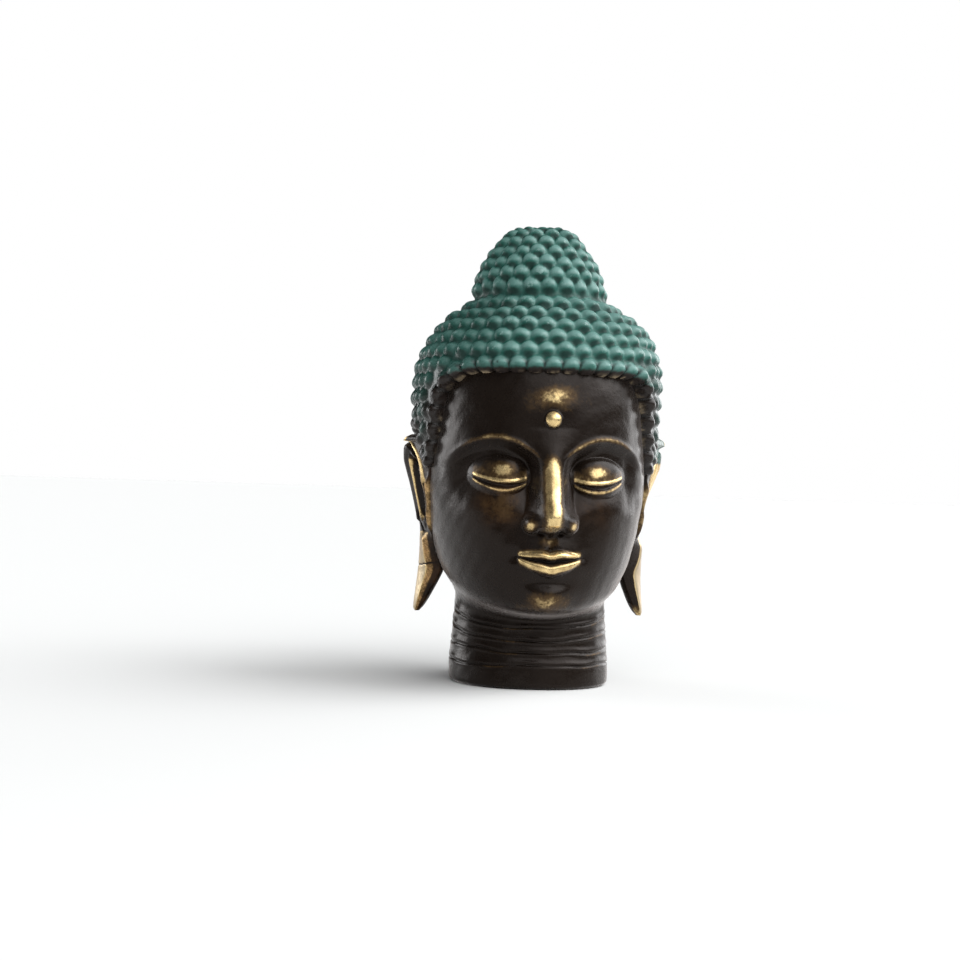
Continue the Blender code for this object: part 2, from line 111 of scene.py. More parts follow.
class Finish:
    # A small helper that adds nodes to one material and links them
    def __init__(self, name):
        self.material = bpy.data.materials.new(name)
        self.material.use_nodes = True
        self.tree = self.material.node_tree
        self.shader = self.tree.nodes["Principled BSDF"]
        self.coordinates = self.tree.nodes.new("ShaderNodeTexCoord").outputs["Object"]

    def link(self, source, socket):
        if isinstance(source, (int, float)):
            socket.default_value = source
        elif isinstance(source, tuple):
            socket.default_value = source + (1.0,) if len(source) == 3 else source
        else:
            self.tree.links.new(source, socket)

    def attribute(self, name):
        node = self.tree.nodes.new("ShaderNodeAttribute")
        node.attribute_name = name
        return node.outputs["Fac"]

    def noise(self, scale, detail=4.0, rough=0.55, stretch=(1.0, 1.0, 1.0), warp=0.0):
        mapping = self.tree.nodes.new("ShaderNodeMapping")
        mapping.inputs["Scale"].default_value = stretch
        self.link(self.coordinates, mapping.inputs["Vector"])
        node = self.tree.nodes.new("ShaderNodeTexNoise")
        self.link(mapping.outputs["Vector"], node.inputs["Vector"])
        node.inputs["Scale"].default_value = scale
        node.inputs["Detail"].default_value = detail
        node.inputs["Roughness"].default_value = rough
        node.inputs["Distortion"].default_value = warp
        return node.outputs["Fac"]

    def combine(self, operation, first, second):
        node = self.tree.nodes.new("ShaderNodeMath")
        node.operation = operation
        self.link(first, node.inputs[0])
        self.link(second, node.inputs[1])
        return node.outputs[0]

    def plus(self, first, second):
        return self.combine("ADD", first, second)

    def minus(self, first, second):
        return self.combine("SUBTRACT", first, second)

    def times(self, first, second):
        return self.combine("MULTIPLY", first, second)

    def larger(self, first, second):
        return self.combine("MAXIMUM", first, second)

    def step(self, value, low, high, start=0.0, end=1.0):
        node = self.tree.nodes.new("ShaderNodeMapRange")
        node.interpolation_type = "SMOOTHSTEP"
        self.link(value, node.inputs["Value"])
        for socket, number in zip(("From Min", "From Max", "To Min", "To Max"), (low, high, start, end)):
            node.inputs[socket].default_value = number
        return node.outputs["Result"]

    def blend(self, share, first, second):
        node = self.tree.nodes.new("ShaderNodeMix")
        node.data_type = "RGBA"
        self.link(share, node.inputs["Factor"])
        self.link(first, node.inputs[6])
        self.link(second, node.inputs[7])
        return node.outputs[2]

    def relief(self, height, distance, strength=1.0, below=None):
        node = self.tree.nodes.new("ShaderNodeBump")
        node.inputs["Distance"].default_value = distance
        node.inputs["Strength"].default_value = strength
        self.link(height, node.inputs["Height"])
        if below is not None:
            self.link(below, node.inputs["Normal"])
        return node.outputs["Normal"]


brassLook = {
    "patina": (0.0062, 0.0033, 0.0017),
    "patinaDust": (0.0090, 0.0056, 0.0036),
    "patinaWarmAndReflected": (0.050, 0.022, 0.007),
    "patinaThin": (0.085, 0.050, 0.020),
    "hollow": (0.006, 0.0042, 0.003),
    "brass": (0.88, 0.66, 0.32),
    "brassDull": (0.31, 0.21, 0.095),
    "brassPale": (0.36, 0.32, 0.25),
    "copper": (0.36, 0.19, 0.075),
    "paint": (0.008, 0.060, 0.046),
    "patinaRoughness": (0.2, 0.33),
    "brassRoughness": (0.2, 0.34),
    "brassMetallic": 0.47,
    "thinMetallic": 0.33,
    "specular": 0.19,
    "sheen": 0.45,
    "sheenRoughness": 0.3,
    "sheenTint": (1.0, 0.90, 0.86, 1.0),
}


def makeBrass():
    look = Finish("patinatedBrass")
    rub = look.attribute("rub")
    warm = look.attribute("warm")
    faint = look.attribute("faint")
    coarse = look.noise(230.0, 5.0, 0.6, warp=0.4)
    fine = look.noise(1500.0, 3.0, 0.6)
    streaks = look.noise(700.0, 3.0, 0.6, stretch=(1.0, 1.0, 0.18))
    # bright metal shows where the rubbing outweighs the patina, with a broken edge
    broken = look.plus(look.times(coarse, 0.75), look.times(fine, 0.35))
    worn = look.plus(rub, look.plus(broken, -0.55))
    metal = look.step(worn, 0.46, 0.74)
    thin = look.step(worn, 0.16, 0.56)
    tone = look.step(look.noise(90.0, 4.0, 0.6), 0.35, 0.7)
    patina = look.blend(tone, brassLook["patina"], brassLook["patinaDust"])
    # warm patina, and on the left ear a painted warm reflection
    patina = look.blend(look.times(warm, look.step(coarse, 0.3, 0.7)), patina, brassLook["patinaWarmAndReflected"])
    patina = look.blend(look.times(thin, 0.85), patina, brassLook["patinaThin"])
    patina = look.blend(look.attribute("hollow"), patina, brassLook["hollow"])
    dull = look.step(look.plus(coarse, look.times(streaks, 0.4)), 0.55, 1.0)
    bright = look.blend(dull, brassLook["brass"], brassLook["brassDull"])
    # copper where rubbed, and on the left ear a painted warm reflection
    bright = look.blend(look.times(warm, 0.8), bright, brassLook["copper"])
    bright = look.blend(look.times(faint, 0.75), bright, brassLook["brassPale"])
    # a little of the hair's paint reaches the tip of one ear
    painted = look.step(look.plus(look.attribute("painted"), look.times(coarse, 1.1)), 0.95, 1.2)
    colour = look.blend(painted, look.blend(metal, patina, bright), brassLook["paint"])
    look.link(colour, look.shader.inputs["Base Color"])
    bare = look.minus(1.0, painted)
    shine = look.times(metal, brassLook["brassMetallic"])
    shine = look.plus(shine, look.times(thin, brassLook["thinMetallic"]))
    look.link(look.times(bare, shine), look.shader.inputs["Metallic"])
    patinaRough = look.step(look.plus(coarse, look.times(fine, 0.4)), 0.3, 1.0, *brassLook["patinaRoughness"])
    brassRough = look.step(fine, 0.3, 0.7, *brassLook["brassRoughness"])
    rough = look.tree.nodes.new("ShaderNodeMix")
    look.link(metal, rough.inputs["Factor"])
    look.link(patinaRough, rough.inputs[2])
    look.link(look.plus(brassRough, look.times(faint, 0.16)), rough.inputs[3])
    look.link(rough.outputs[0], look.shader.inputs["Roughness"])
    for socket, key in (("Specular IOR Level", "specular"), ("Specular Tint", "sheenTint"),
                        ("Sheen Weight", "sheen"), ("Sheen Roughness", "sheenRoughness"),
                        ("Sheen Tint", "sheenTint")):
        look.shader.inputs[socket].default_value = brassLook[key]
    skin = look.relief(look.noise(420.0, 3.0, 0.5), 0.00025, 0.35)
    grain = look.relief(fine, 0.00008, 0.35, skin)
    look.link(look.relief(streaks, 0.00006, 0.3, grain), look.shader.inputs["Normal"])
    return look.material


paintLook = {
    "green": (0.011, 0.098, 0.073),
    "greenLight": (0.028, 0.122, 0.099),
    "greenPaintedLight": (0.140, 0.278, 0.249),
    "greenShadeAndGrime": (0.003, 0.028, 0.021),
    "greenAgedAndShadowed": (0.008, 0.040, 0.031),
    "scuffsAndHighlights": (0.240, 0.380, 0.350),
    "grime": (0.010, 0.009, 0.007),
    "wornBrown": (0.014, 0.009, 0.007),
    "gap": (0.004, 0.003, 0.002),
    "brass": (0.52, 0.41, 0.27),
    "roughness": (0.27, 0.46),
    "pitRoughness": 0.3,
    "specular": 0.3,
}


def makePaint():
    look = Finish("verdigrisPaint")
    crown, under, rim, faded, aged, agedAndShadowed, gap, glint = [
        look.attribute(name) for name in ("crown", "under", "rim", "faded", "aged", "agedAndShadowed", "gap", "glint")]
    coarse = look.noise(150.0, 4.0, 0.6)
    fine = look.noise(900.0, 4.0, 0.6)
    # painted light and shade: pale above each curl's crest as a painted highlight, deep green on its
    # underside and in the pits as painted shade with some grime
    pale = look.step(look.plus(look.plus(look.times(under, -1.0), 0.35), look.times(fine, 0.5)), 0.35, 1.0)
    # the aged sides and the painted shadow on the left lose the pale top and turn dark green
    pale = look.times(pale, look.minus(1.0, look.times(agedAndShadowed, 0.9)))
    green = look.blend(look.step(coarse, 0.35, 0.65), paintLook["green"], paintLook["greenLight"])
    green = look.blend(look.times(agedAndShadowed, 0.75), green, paintLook["greenAgedAndShadowed"])
    colour = look.blend(pale, green, paintLook["greenPaintedLight"])
    # pale flecks on the crests: scuffs, and painted highlights where the crests catch light; fewer where the
    # paint is aged or painted in shadow
    scuffsAndHighlights = look.step(look.plus(look.times(crown, 0.5), look.noise(620.0, 5.0, 0.7)), 0.93, 1.06)
    scuffsAndHighlights = look.times(scuffsAndHighlights, look.minus(0.7, look.times(agedAndShadowed, 0.35)))
    colour = look.blend(scuffsAndHighlights, colour, paintLook["scuffsAndHighlights"])
    # painted shade with some grime: the curls' undersides and the pits turn deep green
    pit = look.step(look.plus(under, look.times(fine, 0.2)), 0.16, 0.5)
    colour = look.blend(look.times(pit, 0.95), colour, paintLook["greenShadeAndGrime"])
    dirty = look.step(look.plus(coarse, look.times(crown, -0.25)), 0.1, 0.5)
    colour = look.blend(look.times(faded, dirty), colour, paintLook["grime"])
    # the hair's edge has lost most of its paint, and so have a few curls
    worn = look.step(look.plus(rim, look.times(look.plus(coarse, fine), 0.5)), 0.75, 1.15)
    chips = look.step(look.plus(look.times(crown, 0.35), look.noise(330.0, 5.0, 0.65)), 0.93, 1.0)
    colour = look.blend(look.larger(worn, look.times(chips, 0.8)), colour, paintLook["wornBrown"])
    # painted shade: the gaps between the curls along the hairline turn nearly black
    colour = look.blend(gap, colour, paintLook["gap"])
    glint = look.times(glint, look.step(look.plus(coarse, look.times(fine, 0.5)), 0.68, 0.9))
    colour = look.blend(glint, colour, paintLook["brass"])
    look.link(colour, look.shader.inputs["Base Color"])
    look.link(look.times(glint, 0.9), look.shader.inputs["Metallic"])
    rough = look.step(fine, 0.3, 0.75, *paintLook["roughness"])
    rough = look.plus(rough, look.times(pit, paintLook["pitRoughness"]))
    # dark old paint is glossier, in its pits too
    glossier = look.plus(look.times(pit, -paintLook["pitRoughness"]), -0.07)
    look.link(look.plus(rough, look.times(aged, glossier)), look.shader.inputs["Roughness"])
    look.shader.inputs["Specular IOR Level"].default_value = paintLook["specular"]
    brush = look.relief(look.noise(500.0, 3.0, 0.5), 0.00022, 0.4)
    look.link(look.relief(fine, 0.0001, 0.35, brush), look.shader.inputs["Normal"])
    return look.material


brassFinish = makeBrass()
paintFinish = makePaint()
print("finishes made")


# Level rings: height at the front, height at the back, half width, front reach, back reach, roundness
headRings = np.array([
    (0.0, 0.0, 15.4, 14.4, 18.2, 2.2),
    (0.8, 0.8, 16.4, 15.4, 19.2, 2.2),
    (3.5, 3.5, 16.4, 15.2, 19.0, 2.2),
    (9.0, 12.0, 15.9, 14.0, 18.2, 2.1),
    (13.4, 21.0, 15.5, 13.8, 17.8, 2.05),
    (14.9, 25.2, 16.4, 17.4, 19.0, 1.9),
    (15.6, 28.0, 17.5, 21.6, 20.2, 1.78),
    (17.2, 30.5, 18.8, 24.0, 21.4, 1.76),
    (21.0, 34.0, 20.2, 25.1, 22.8, 1.84),
    (26.4, 38.0, 21.3, 25.4, 24.4, 1.98),
    (31.7, 41.8, 22.0, 25.3, 25.5, 2.12),
    (37.5, 45.5, 22.5, 25.2, 26.4, 2.22),
    (43.0, 49.5, 22.5, 25.2, 27.0, 2.25),
    (47.5, 53.0, 22.3, 25.5, 27.2, 2.2),
    (55.0, 58.0, 22.1, 24.9, 27.2, 2.15),
    (63.3, 63.3, 21.4, 22.8, 26.2, 2.1),
    (70.0, 70.0, 18.8, 19.2, 22.8, 2.0),
    (76.0, 76.0, 13.0, 13.2, 15.5, 2.0),
    (79.0, 79.0, 7.5, 7.5, 8.5, 2.0),
    (80.0, 80.0, 0.0, 0.0, 0.0, 2.0),
])
headLook = {
    "columns": 320,
    "neckLines": (2.25, 2.70, 3.15, 3.62),  # in rings from the foot
    "neckLineDepth": 0.42,
    "castingWave": 0.05,
}
# The carving by thirds: foot of the nose at one third of the face, brows at two thirds
faceLook = {
    "browHeight": 50.0,
    "browPeak": 11.0,  # the brow's highest point, out from the middle
    "browArch": 0.0543,
    "browRelief": 0.42,
    "socketDepth": 1.9,
    "eyeHeight": 42.6,
    "eyeAcross": 9.7,
    "eyeHalfWidth": 5.9,
    "eyeHalfHeight": 3.9,
    "eyeRelief": 2.3,
    "lidHalfWidth": 5.3,
    "lidOpening": 0.85,
    # height, relief of the ridge
    "noseRidge": ((30.7, 0.0), (31.5, 0.5), (32.3, 2.9), (33.3, 5.3), (34.7, 6.3), (36.2, 5.9), (38.5, 4.7),
                  (41.5, 3.4), (44.5, 2.3), (47.0, 1.4), (49.5, 0.6), (52.0, 0.0)),
    # height, half width
    "noseHalf": ((31.0, 4.6), (34.2, 5.2), (38.0, 4.7), (43.0, 4.2), (46.5, 4.3), (49.5, 5.4), (52.0, 7.0)),
    "wingAcross": 3.5,
    "wingHeight": 33.6,
    "wingRelief": 3.3,
    "mouthHeight": 26.35,
    "mouthHalfWidth": 6.5,
    "upperLip": 2.3,
    "lowerLip": 2.8,
    "chinHeight": 18.9,
    "chinRelief": 1.4,
    "cheekRelief": 1.0,
    "markHeight": 53.6,
    "markRadius": 1.7,
    "markRelief": 1.45,
}


class Carving:
    # What the carving adds at each point of the face: relief outward, rubbing, and warmth of the patina
    def __init__(self, x, z):
        self.x = x
        self.z = z
        self.across = np.abs(x)
        self.relief = np.zeros_like(x)
        self.rub = np.zeros_like(x)
        self.warm = np.zeros_like(x)

    def wear(self, amount):
        self.rub = np.maximum(self.rub, amount)


def carveBrows(face):
    # the brows and the hollows under them
    across, z = face.across, face.z
    brow = faceLook["browHeight"] - faceLook["browArch"] * (across - faceLook["browPeak"]) ** 2
    under = brow - z
    reach = ease(1.8, 5.2, across) * (1 - ease(15.5, 21.0, across))
    face.relief -= faceLook["socketDepth"] * ease(-0.1, 2.6, under) * (1 - ease(6.0, 14.0, under)) * reach
    face.relief -= 0.9 * bump(across - 4.6, 2.2) * bump(z - 43.5, 3.2)
    line = ease(1.5, 3.5, across) * (1 - ease(15.0, 19.5, across))
    face.relief += faceLook["browRelief"] * bump(z - brow, 0.6) * line
    face.wear(0.52 * bump(z - brow - 0.1, 0.6) * line)


def carveEyes(face):
    # the eyes, nearly closed
    z = face.z
    out = face.across - faceLook["eyeAcross"]
    up = z - faceLook["eyeHeight"]
    ball = np.clip(1 - (out / faceLook["eyeHalfWidth"]) ** 2 - (up / faceLook["eyeHalfHeight"]) ** 2, 0, 1)
    onBall = ease(0.0, 0.12, ball)
    span = np.clip(1 - (out / faceLook["lidHalfWidth"]) ** 2, 0, 1)
    onLid = ease(0.0, 0.12, span) * onBall
    lash = faceLook["eyeHeight"] - 1.55 + (out / faceLook["lidHalfWidth"]) ** 2 + 0.07 * out
    slit = faceLook["lidOpening"] * span ** 0.8
    face.relief += faceLook["eyeRelief"] * ball ** 0.62
    face.relief -= 0.6 * (1 - ease(-0.16, 0.10, z - lash)) * ease(-0.16, 0.12, z - lash + slit) * onLid
    face.relief += 0.22 * bump(z - lash - 0.38, 0.33) * onLid
    face.relief += 0.2 * bump(z - lash + slit + 0.42, 0.33) * onLid
    face.wear(0.8 * bump(z - lash - 0.5, 0.55) * onLid)
    face.wear(0.45 * bump(z - lash - 1.4, 1.1) * onLid)
    face.wear(0.74 * bump(face.across - 9.3, 3.0) * bump(up - 1.0, 1.7) * onBall)
    face.wear(0.72 * bump(z - lash + slit + 0.5, 0.4) * onLid)
    # thin warm patina under them, mostly on one side
    glow = bump(face.across - 9.2, 4.2) * bump(z - 36.8, 3.6) * np.where(face.x < 0, 1.0, 0.35)
    face.warm = np.maximum(face.warm, glow)
    face.wear(0.36 * glow)


def carveNose(face):
    across, z = face.across, face.z
    ridge, half = [curveThrough(*zip(*faceLook[key]), z) for key in ("noseRidge", "noseHalf")]
    bridge = ridge * np.clip(1 - (across / half) ** 2, 0, 1) ** 1.5
    wing = 1 - ((across - faceLook["wingAcross"]) / 2.15) ** 2 - ((z - faceLook["wingHeight"]) / 2.2) ** 2
    wing = faceLook["wingRelief"] * np.clip(wing, 0, 1) ** 0.7
    face.relief += (bridge ** 3 + wing ** 3) ** (1 / 3)
    face.relief -= 1.2 * bump(across - 2.0, 0.85) * bump(z - 32.0, 0.6)
    face.wear(1.05 * bump(across, 1.75) * ease(31.2, 32.6, z) * (1 - ease(43.5, 48.5, z)))
    face.wear(0.8 * bump(across - 4.2, 1.1) * bump(z - 33.0, 1.3))


def carveMouth(face):
    # the mouth with its muzzle, and the groove above it
    across, z = face.across, face.z
    face.relief += 1.6 * bump(across, 8.5) * bump(z - 26.0, 5.5)
    groove = ease(28.4, 29.2, z) * (1 - ease(30.6, 31.4, z))
    face.relief += (0.22 * bump(across - 1.45, 0.6) - 0.38 * bump(across, 0.75)) * groove
    wide = faceLook["mouthHalfWidth"]
    r = np.clip(across / wide, 0, 1)
    parting = faceLook["mouthHeight"] + 0.7 * r ** 2 - 0.28 * bump(across, 1.3)
    top = parting + faceLook["upperLip"] * (1 - r ** 1.7) - 0.42 * bump(across, 1.1) + 0.12
    foot = parting - faceLook["lowerLip"] * (1 - r ** 2) ** 0.75 - 0.1
    upper = np.clip((z - parting) / (top - parting), 0, 1)
    lower = np.clip((parting - z) / (parting - foot), 0, 1)
    end = np.clip(1 - r * r, 0, 1) ** 0.45
    face.relief += 1.25 * np.clip(1 - (2 * upper - 1) ** 2, 0, 1) ** 0.7 * (z >= parting) * end
    face.relief += 1.45 * np.clip(1 - (2 * lower - 1) ** 2, 0, 1) ** 0.7 * (z < parting) * end
    face.relief -= 0.45 * bump(z - parting, 0.3) * (1 - ease(wide - 0.5, wide + 0.8, across))
    face.relief -= 0.55 * bump(across - wide - 0.2, 1.1) * bump(z - 27.0, 1.1)
    inMouth = 1 - ease(wide - 0.8, wide + 0.2, across)
    face.wear(0.85 * bump(z - (parting + top) / 2 - 0.3, 0.8) * inMouth)
    face.wear(0.9 * bump(z - (parting + foot) / 2, 0.9) * inMouth)
    face.rub -= 0.5 * bump(z - parting, 0.28) * inMouth


def carveChin(face):
    # the chin, the cheeks and the groove's rubbed edge
    across, z = face.across, face.z
    face.relief -= 0.9 * bump(across, 5.0) * bump(z - 22.2, 1.4)
    face.relief += faceLook["chinRelief"] * bump(across, 4.6) * bump(z - faceLook["chinHeight"], 3.0)
    face.relief += faceLook["cheekRelief"] * bump(across - 12.5, 6.0) * bump(z - 31.0, 7.5)
    face.wear(0.56 * bump(across, 6.5) * bump(z - 18.2, 2.3))
    face.wear(0.50 * bump(across, 2.2) * bump(z - 30.0, 1.2))


def carveMark(face):
    # the mark between the brows, and the rubbed middle of the forehead
    radius = faceLook["markRadius"]
    mark = np.clip(1 - (face.across / radius) ** 2 - ((face.z - faceLook["markHeight"]) / radius) ** 2, 0, 1)
    face.relief += faceLook["markRelief"] * mark ** 0.6
    face.wear(1.1 * ease(0.0, 0.35, mark))
    face.wear(0.66 * bump(face.x - 0.6, 5.4) * bump(face.z - 57.8, 2.7))


def neckRelief(angle, place):
    # hand-cut lines: each wanders, fades in places, and leaves a low lip on the band above it
    relief = np.zeros_like(place)
    rub = np.zeros_like(place)
    for number, line in enumerate(headLook["neckLines"]):
        phase = 1.3 + 1.9 * number
        wander = 0.035 * np.sin(2 * angle + phase) + 0.022 * np.sin(5 * angle + 2 * phase)
        wander += 0.012 * np.sin(11 * angle + 3 * phase)
        pressed = 0.72 + 0.28 * np.sin(3 * angle + 2.3 * phase) * np.sin(7 * angle + phase)
        offset = place - line - wander
        relief -= headLook["neckLineDepth"] * pressed * bump(offset, 0.035)
        relief += 0.5 * headLook["neckLineDepth"] * pressed * bump(offset - 0.09, 0.075)
        relief += 0.35 * headLook["neckLineDepth"] * pressed * bump(offset + 0.065, 0.035)
        inPlaces = ease(0.1, 0.8, np.sin(5 * angle + 3.1 * phase))
        rub = np.maximum(rub, 0.42 * bump(offset + 0.06, 0.035) * inPlaces)
    return relief, rub


def castingWave(x, y, z):
    wave = np.sin(0.61 * x + 0.4 * z + 1.0) * np.sin(0.53 * z - 0.35 * y + 2.0)
    wave += 0.6 * np.sin(1.13 * x - 0.8 * z + 0.3) * np.sin(0.97 * y + 0.6 * z)
    return headLook["castingWave"] * wave


def headPoint(angle, place):
    numbers = np.arange(len(headRings), dtype=float)
    frontZ, backZ, half, front, back, roundness = [
        curveThrough(numbers, headRings[:, column], place) for column in range(6)]
    x, y = ringPoint(angle, half, front, back, roundness)
    z = backZ + (frontZ - backZ) * (1 + np.cos(angle)) / 2
    onFace = ease(0.15, 0.45, np.cos(angle)) * ease(15.0, 16.6, z)
    face = Carving(x, z)
    for carve in (carveBrows, carveEyes, carveNose, carveMouth, carveChin, carveMark):
        carve(face)
    y = y - face.relief * onFace
    cut, lip = neckRelief(angle, place)
    cut = cut + castingWave(x, y, z) * ease(0.2, 1.2, place)
    x = x + cut * np.sin(angle)
    y = y - cut * np.cos(angle)
    return np.stack([x, y, z], -1), np.maximum(face.rub * onFace, lip), face.warm * onFace, cut


def makeHead():
    share = np.linspace(-1, 1, headLook["columns"], endpoint=False)
    angles = math.pi * (0.42 * share + 0.58 * share ** 3)
    heights = np.concatenate([
        np.array([0.0, 0.08, 0.2, 0.35, 0.55, 0.8, 1.3, 2.0]),
        np.arange(2.6, 14.6, 0.19),
        np.arange(14.6, 56.0, 0.25),
        np.arange(56.0, 66.0, 0.42),
        np.array([68.0, 71.0, 74.0, 77.0, 79.0, 79.8]),
    ])
    numbers = np.arange(len(headRings), dtype=float)
    fine = np.linspace(0, len(headRings) - 1, 12000)
    places = np.interp(heights, curveThrough(numbers, headRings[:, 0], fine), fine)
    place, angle = np.meshgrid(places, angles, indexing="ij")
    points, rub, warm, cut = headPoint(angle, place)
    hollow = ease(-0.1, -0.42, cut) * (place < 4.3)
    return gridMesh("castHead", points, brassFinish, {"rub": rub, "warm": warm, "hollow": hollow})


castHead = makeHead()
print("head and neck made")


# Level rings from the nape to the top of the knot: height, half width, front reach, back reach
hairRings = np.array([
    (22.0, 14.5, 15.0, 18.4),
    (28.0, 18.9, 19.2, 21.9),
    (34.0, 22.3, 22.5, 25.7),
    (40.0, 24.1, 24.6, 28.4),
    (46.0, 25.2, 25.9, 30.0),
    (52.0, 25.7, 26.3, 30.8),
    (58.0, 26.0, 26.3, 30.9),
    (62.5, 26.0, 25.7, 30.5),
    (66.5, 25.3, 24.0, 29.3),
    (70.0, 24.0, 21.9, 27.7),
    (73.0, 22.2, 19.7, 25.5),
    (75.5, 19.7, 17.5, 22.7),
    (77.6, 16.5, 15.3, 19.2),
    (79.3, 14.7, 13.7, 16.9),
    (81.0, 14.1, 13.0, 16.0),
    (83.5, 13.4, 12.3, 15.0),
    (86.5, 12.1, 11.0, 13.4),
    (89.5, 10.3, 9.2, 11.7),
    (92.0, 8.4, 7.4, 9.7),
    (93.7, 6.1, 5.1, 7.3),
    (94.4, 3.4, 2.4, 4.6),
    (94.65, 0.0, -1.0, 1.0),
])
# The hand-made cap leans a little to the right: height, distance
hairLean = ((22.0, 0.0), (56.0, 0.0), (62.0, 0.3), (67.0, 0.5), (72.0, 0.9), (77.0, 0.8), (80.5, 0.2),
            (83.0, 0.0), (94.65, 0.0))
# The hair's lower edge: degrees from the front, height
hairline = np.array([
    (0, 63.1), (34, 62.9), (44, 62.1), (50, 60.2), (55, 56.4), (59, 49.8), (64, 43.8),
    (70, 42.6), (77, 46.0), (84, 51.0), (98, 51.0), (108, 44.0), (120, 36.0), (145, 29.5), (180, 28.0),
])
hairLook = {
    "columns": 520,
    "rows": 232,
    "roundness": 2.15,
    "leftSetBack": 3.8,  # degrees that the left temple's hair starts further back
    "knotFoot": 79.8,
    "curlPitch": 3.75,
    "edgeRow": 0.32,  # how far the first row's centres are above the hairline, in pitches
    "capRowPitch": 0.86,  # in pitches
    "knotRowPitch": 0.69,
    "topCurlDrop": 0.6,
    "jitter": 0.12,
    "jitterSeed": 11,
    "curlReach": 2.15,  # radius of one curl
    "curlHeight": 1.4,
    "curlHang": 0.40,  # how much shorter a curl is below its crest than above
    "curlOverlap": 1.5,  # how far a curl runs up between those of the next row
    "unevenness": 0.14,
    "unevenSeed": 5,
    "softening": 2,
    "sunk": 1.0,
    "edgeThickness": 4.6,
    "edgeRounding": 1.5,
    "scallop": 1.1,
}
# Height of a curl against the distance from its centre, both as shares
curlProfile = ((0.2, 0.975), (0.4, 0.88), (0.6, 0.68), (0.8, 0.36), (0.92, 0.12))


def hairPoint(angle, place):
    numbers = np.arange(len(hairRings), dtype=float)
    z, half, front, back = [curveThrough(numbers, hairRings[:, column], place) for column in range(4)]
    middle = (back - front) / 2
    reach = (back + front) / 2
    x, y = ringPoint(angle, half, reach, reach, hairLook["roundness"])
    lean = curveThrough(*zip(*hairLean), z)
    return np.stack([x + lean, y + middle, z + 0 * x], -1)


def hairlineHeight(angle):
    degrees = np.degrees(np.abs(angle))
    atTemple = ease(46.0, 56.0, degrees) * (1 - ease(68.0, 84.0, degrees))
    setBack = hairLook["leftSetBack"] * (angle < 0) * atTemple
    return curveThrough(hairline[:, 0], hairline[:, 1], degrees - setBack)


def hairPlaceOfHeight(height):
    places = np.linspace(0, len(hairRings) - 1, 4000)
    numbers = np.arange(len(hairRings), dtype=float)
    return np.interp(height, curveThrough(numbers, hairRings[:, 0], places), places)


def lengthsAlong(points):
    steps = np.linalg.norm(np.diff(points, axis=0), axis=1)
    return np.concatenate([[0.0], np.cumsum(steps)])


def spacedPoints(line, pitch, shift):
    # evenly spaced along a closed line from the back, with a point at its middle or half a step beside it
    along = lengthsAlong(line)
    count = max(3, int(round(along[-1] / pitch)))
    places = (np.arange(count) + (count / 2 + shift) % 1) / count * along[-1]
    return np.stack([np.interp(places, along, line[:, axis]) for axis in range(3)], -1)


def edgeRow(angles, line):
    # curl centres a little above the hairline, measured up along the surface
    pitch = hairLook["curlPitch"]
    along = np.gradient(line, axis=0)
    along /= np.linalg.norm(along, axis=1)[:, None]
    outward = line - np.stack([0 * angles, 0 * angles + 2.0, np.minimum(line[:, 2], 58.0)], -1)
    outward /= np.linalg.norm(outward, axis=1)[:, None]
    upward = np.cross(along, outward)
    upward *= np.where(upward[:, 2:3] < 0, -1.0, 1.0)
    return spacedPoints(line + hairLook["edgeRow"] * pitch * upward, 0.98 * pitch, 0.0)


def rowPlaces():
    # the places of the level rows, and how many of them are below the front hairline
    pitch = hairLook["curlPitch"]
    places = np.linspace(0, len(hairRings) - 1, 3000)
    side = hairPoint(np.full_like(places, math.pi / 2), places)
    front = hairPoint(np.zeros_like(places), places)
    sideClimb = lengthsAlong(side)
    frontClimb = lengthsAlong(front)
    isHigh = side[:, 2] > hairline[0, 1]
    climb = np.where(isHigh, frontClimb - frontClimb[isHigh][0] + sideClimb[isHigh][0], sideClimb)
    start = np.interp(hairline[0, 1], side[:, 2], climb) + 0.34 * pitch
    knot = np.interp(hairLook["knotFoot"], side[:, 2], climb)
    last = knot - 0.8 * pitch
    capRows = int(round((last - start) / (hairLook["capRowPitch"] * pitch)))
    spacing = (last - start) / capRows
    below = int(start / spacing)
    levels = [start + number * spacing for number in range(-below, capRows + 1)]
    first = knot + 0.3 * pitch
    knotRows = int(round((climb[-1] - first) / (hairLook["knotRowPitch"] * pitch)))
    knotStep = (climb[-1] - first) / knotRows
    levels += [first + number * knotStep for number in range(knotRows)]
    return [np.interp(level, climb, places) for level in levels], below


def curlLayout():
    # one row of curls follows the hairline, level rows fill the cap, and rows ring the knot
    pitch = hairLook["curlPitch"]
    angles = np.linspace(-math.pi, math.pi, 1441)
    line = hairPoint(angles, hairPlaceOfHeight(hairlineHeight(angles)))
    edge = edgeRow(angles, line)
    rows, below = rowPlaces()
    curls = []
    for number, place in enumerate(rows):
        row = hairPoint(angles, np.full_like(angles, place))
        for point in spacedPoints(row, pitch, 0.5 * ((number - below) % 2)):
            angle = math.atan2(point[0], -(point[1] - 1.5))
            if point[2] < hairlineHeight(np.array(angle)) + 0.3 * pitch:
                continue
            if np.linalg.norm(edge - point, axis=1).min() > 0.66 * pitch:
                curls.append(point)
    curls.append(np.array((0.0, 1.0, hairRings[-1, 0] - hairLook["topCurlDrop"])))
    chance = np.random.default_rng(hairLook["jitterSeed"])
    return edge, np.array(curls) + chance.normal(0.0, hairLook["jitter"], (len(curls), 3)), line


def distanceTo(targets, points):  # from each point to the nearest target
    tree = kdtree.KDTree(len(targets))
    for number, target in enumerate(targets):
        tree.insert(Vector(target), number)
    tree.balance()
    return np.array([tree.find(point)[2] for point in points.reshape(-1, 3)]).reshape(points.shape[:-1])


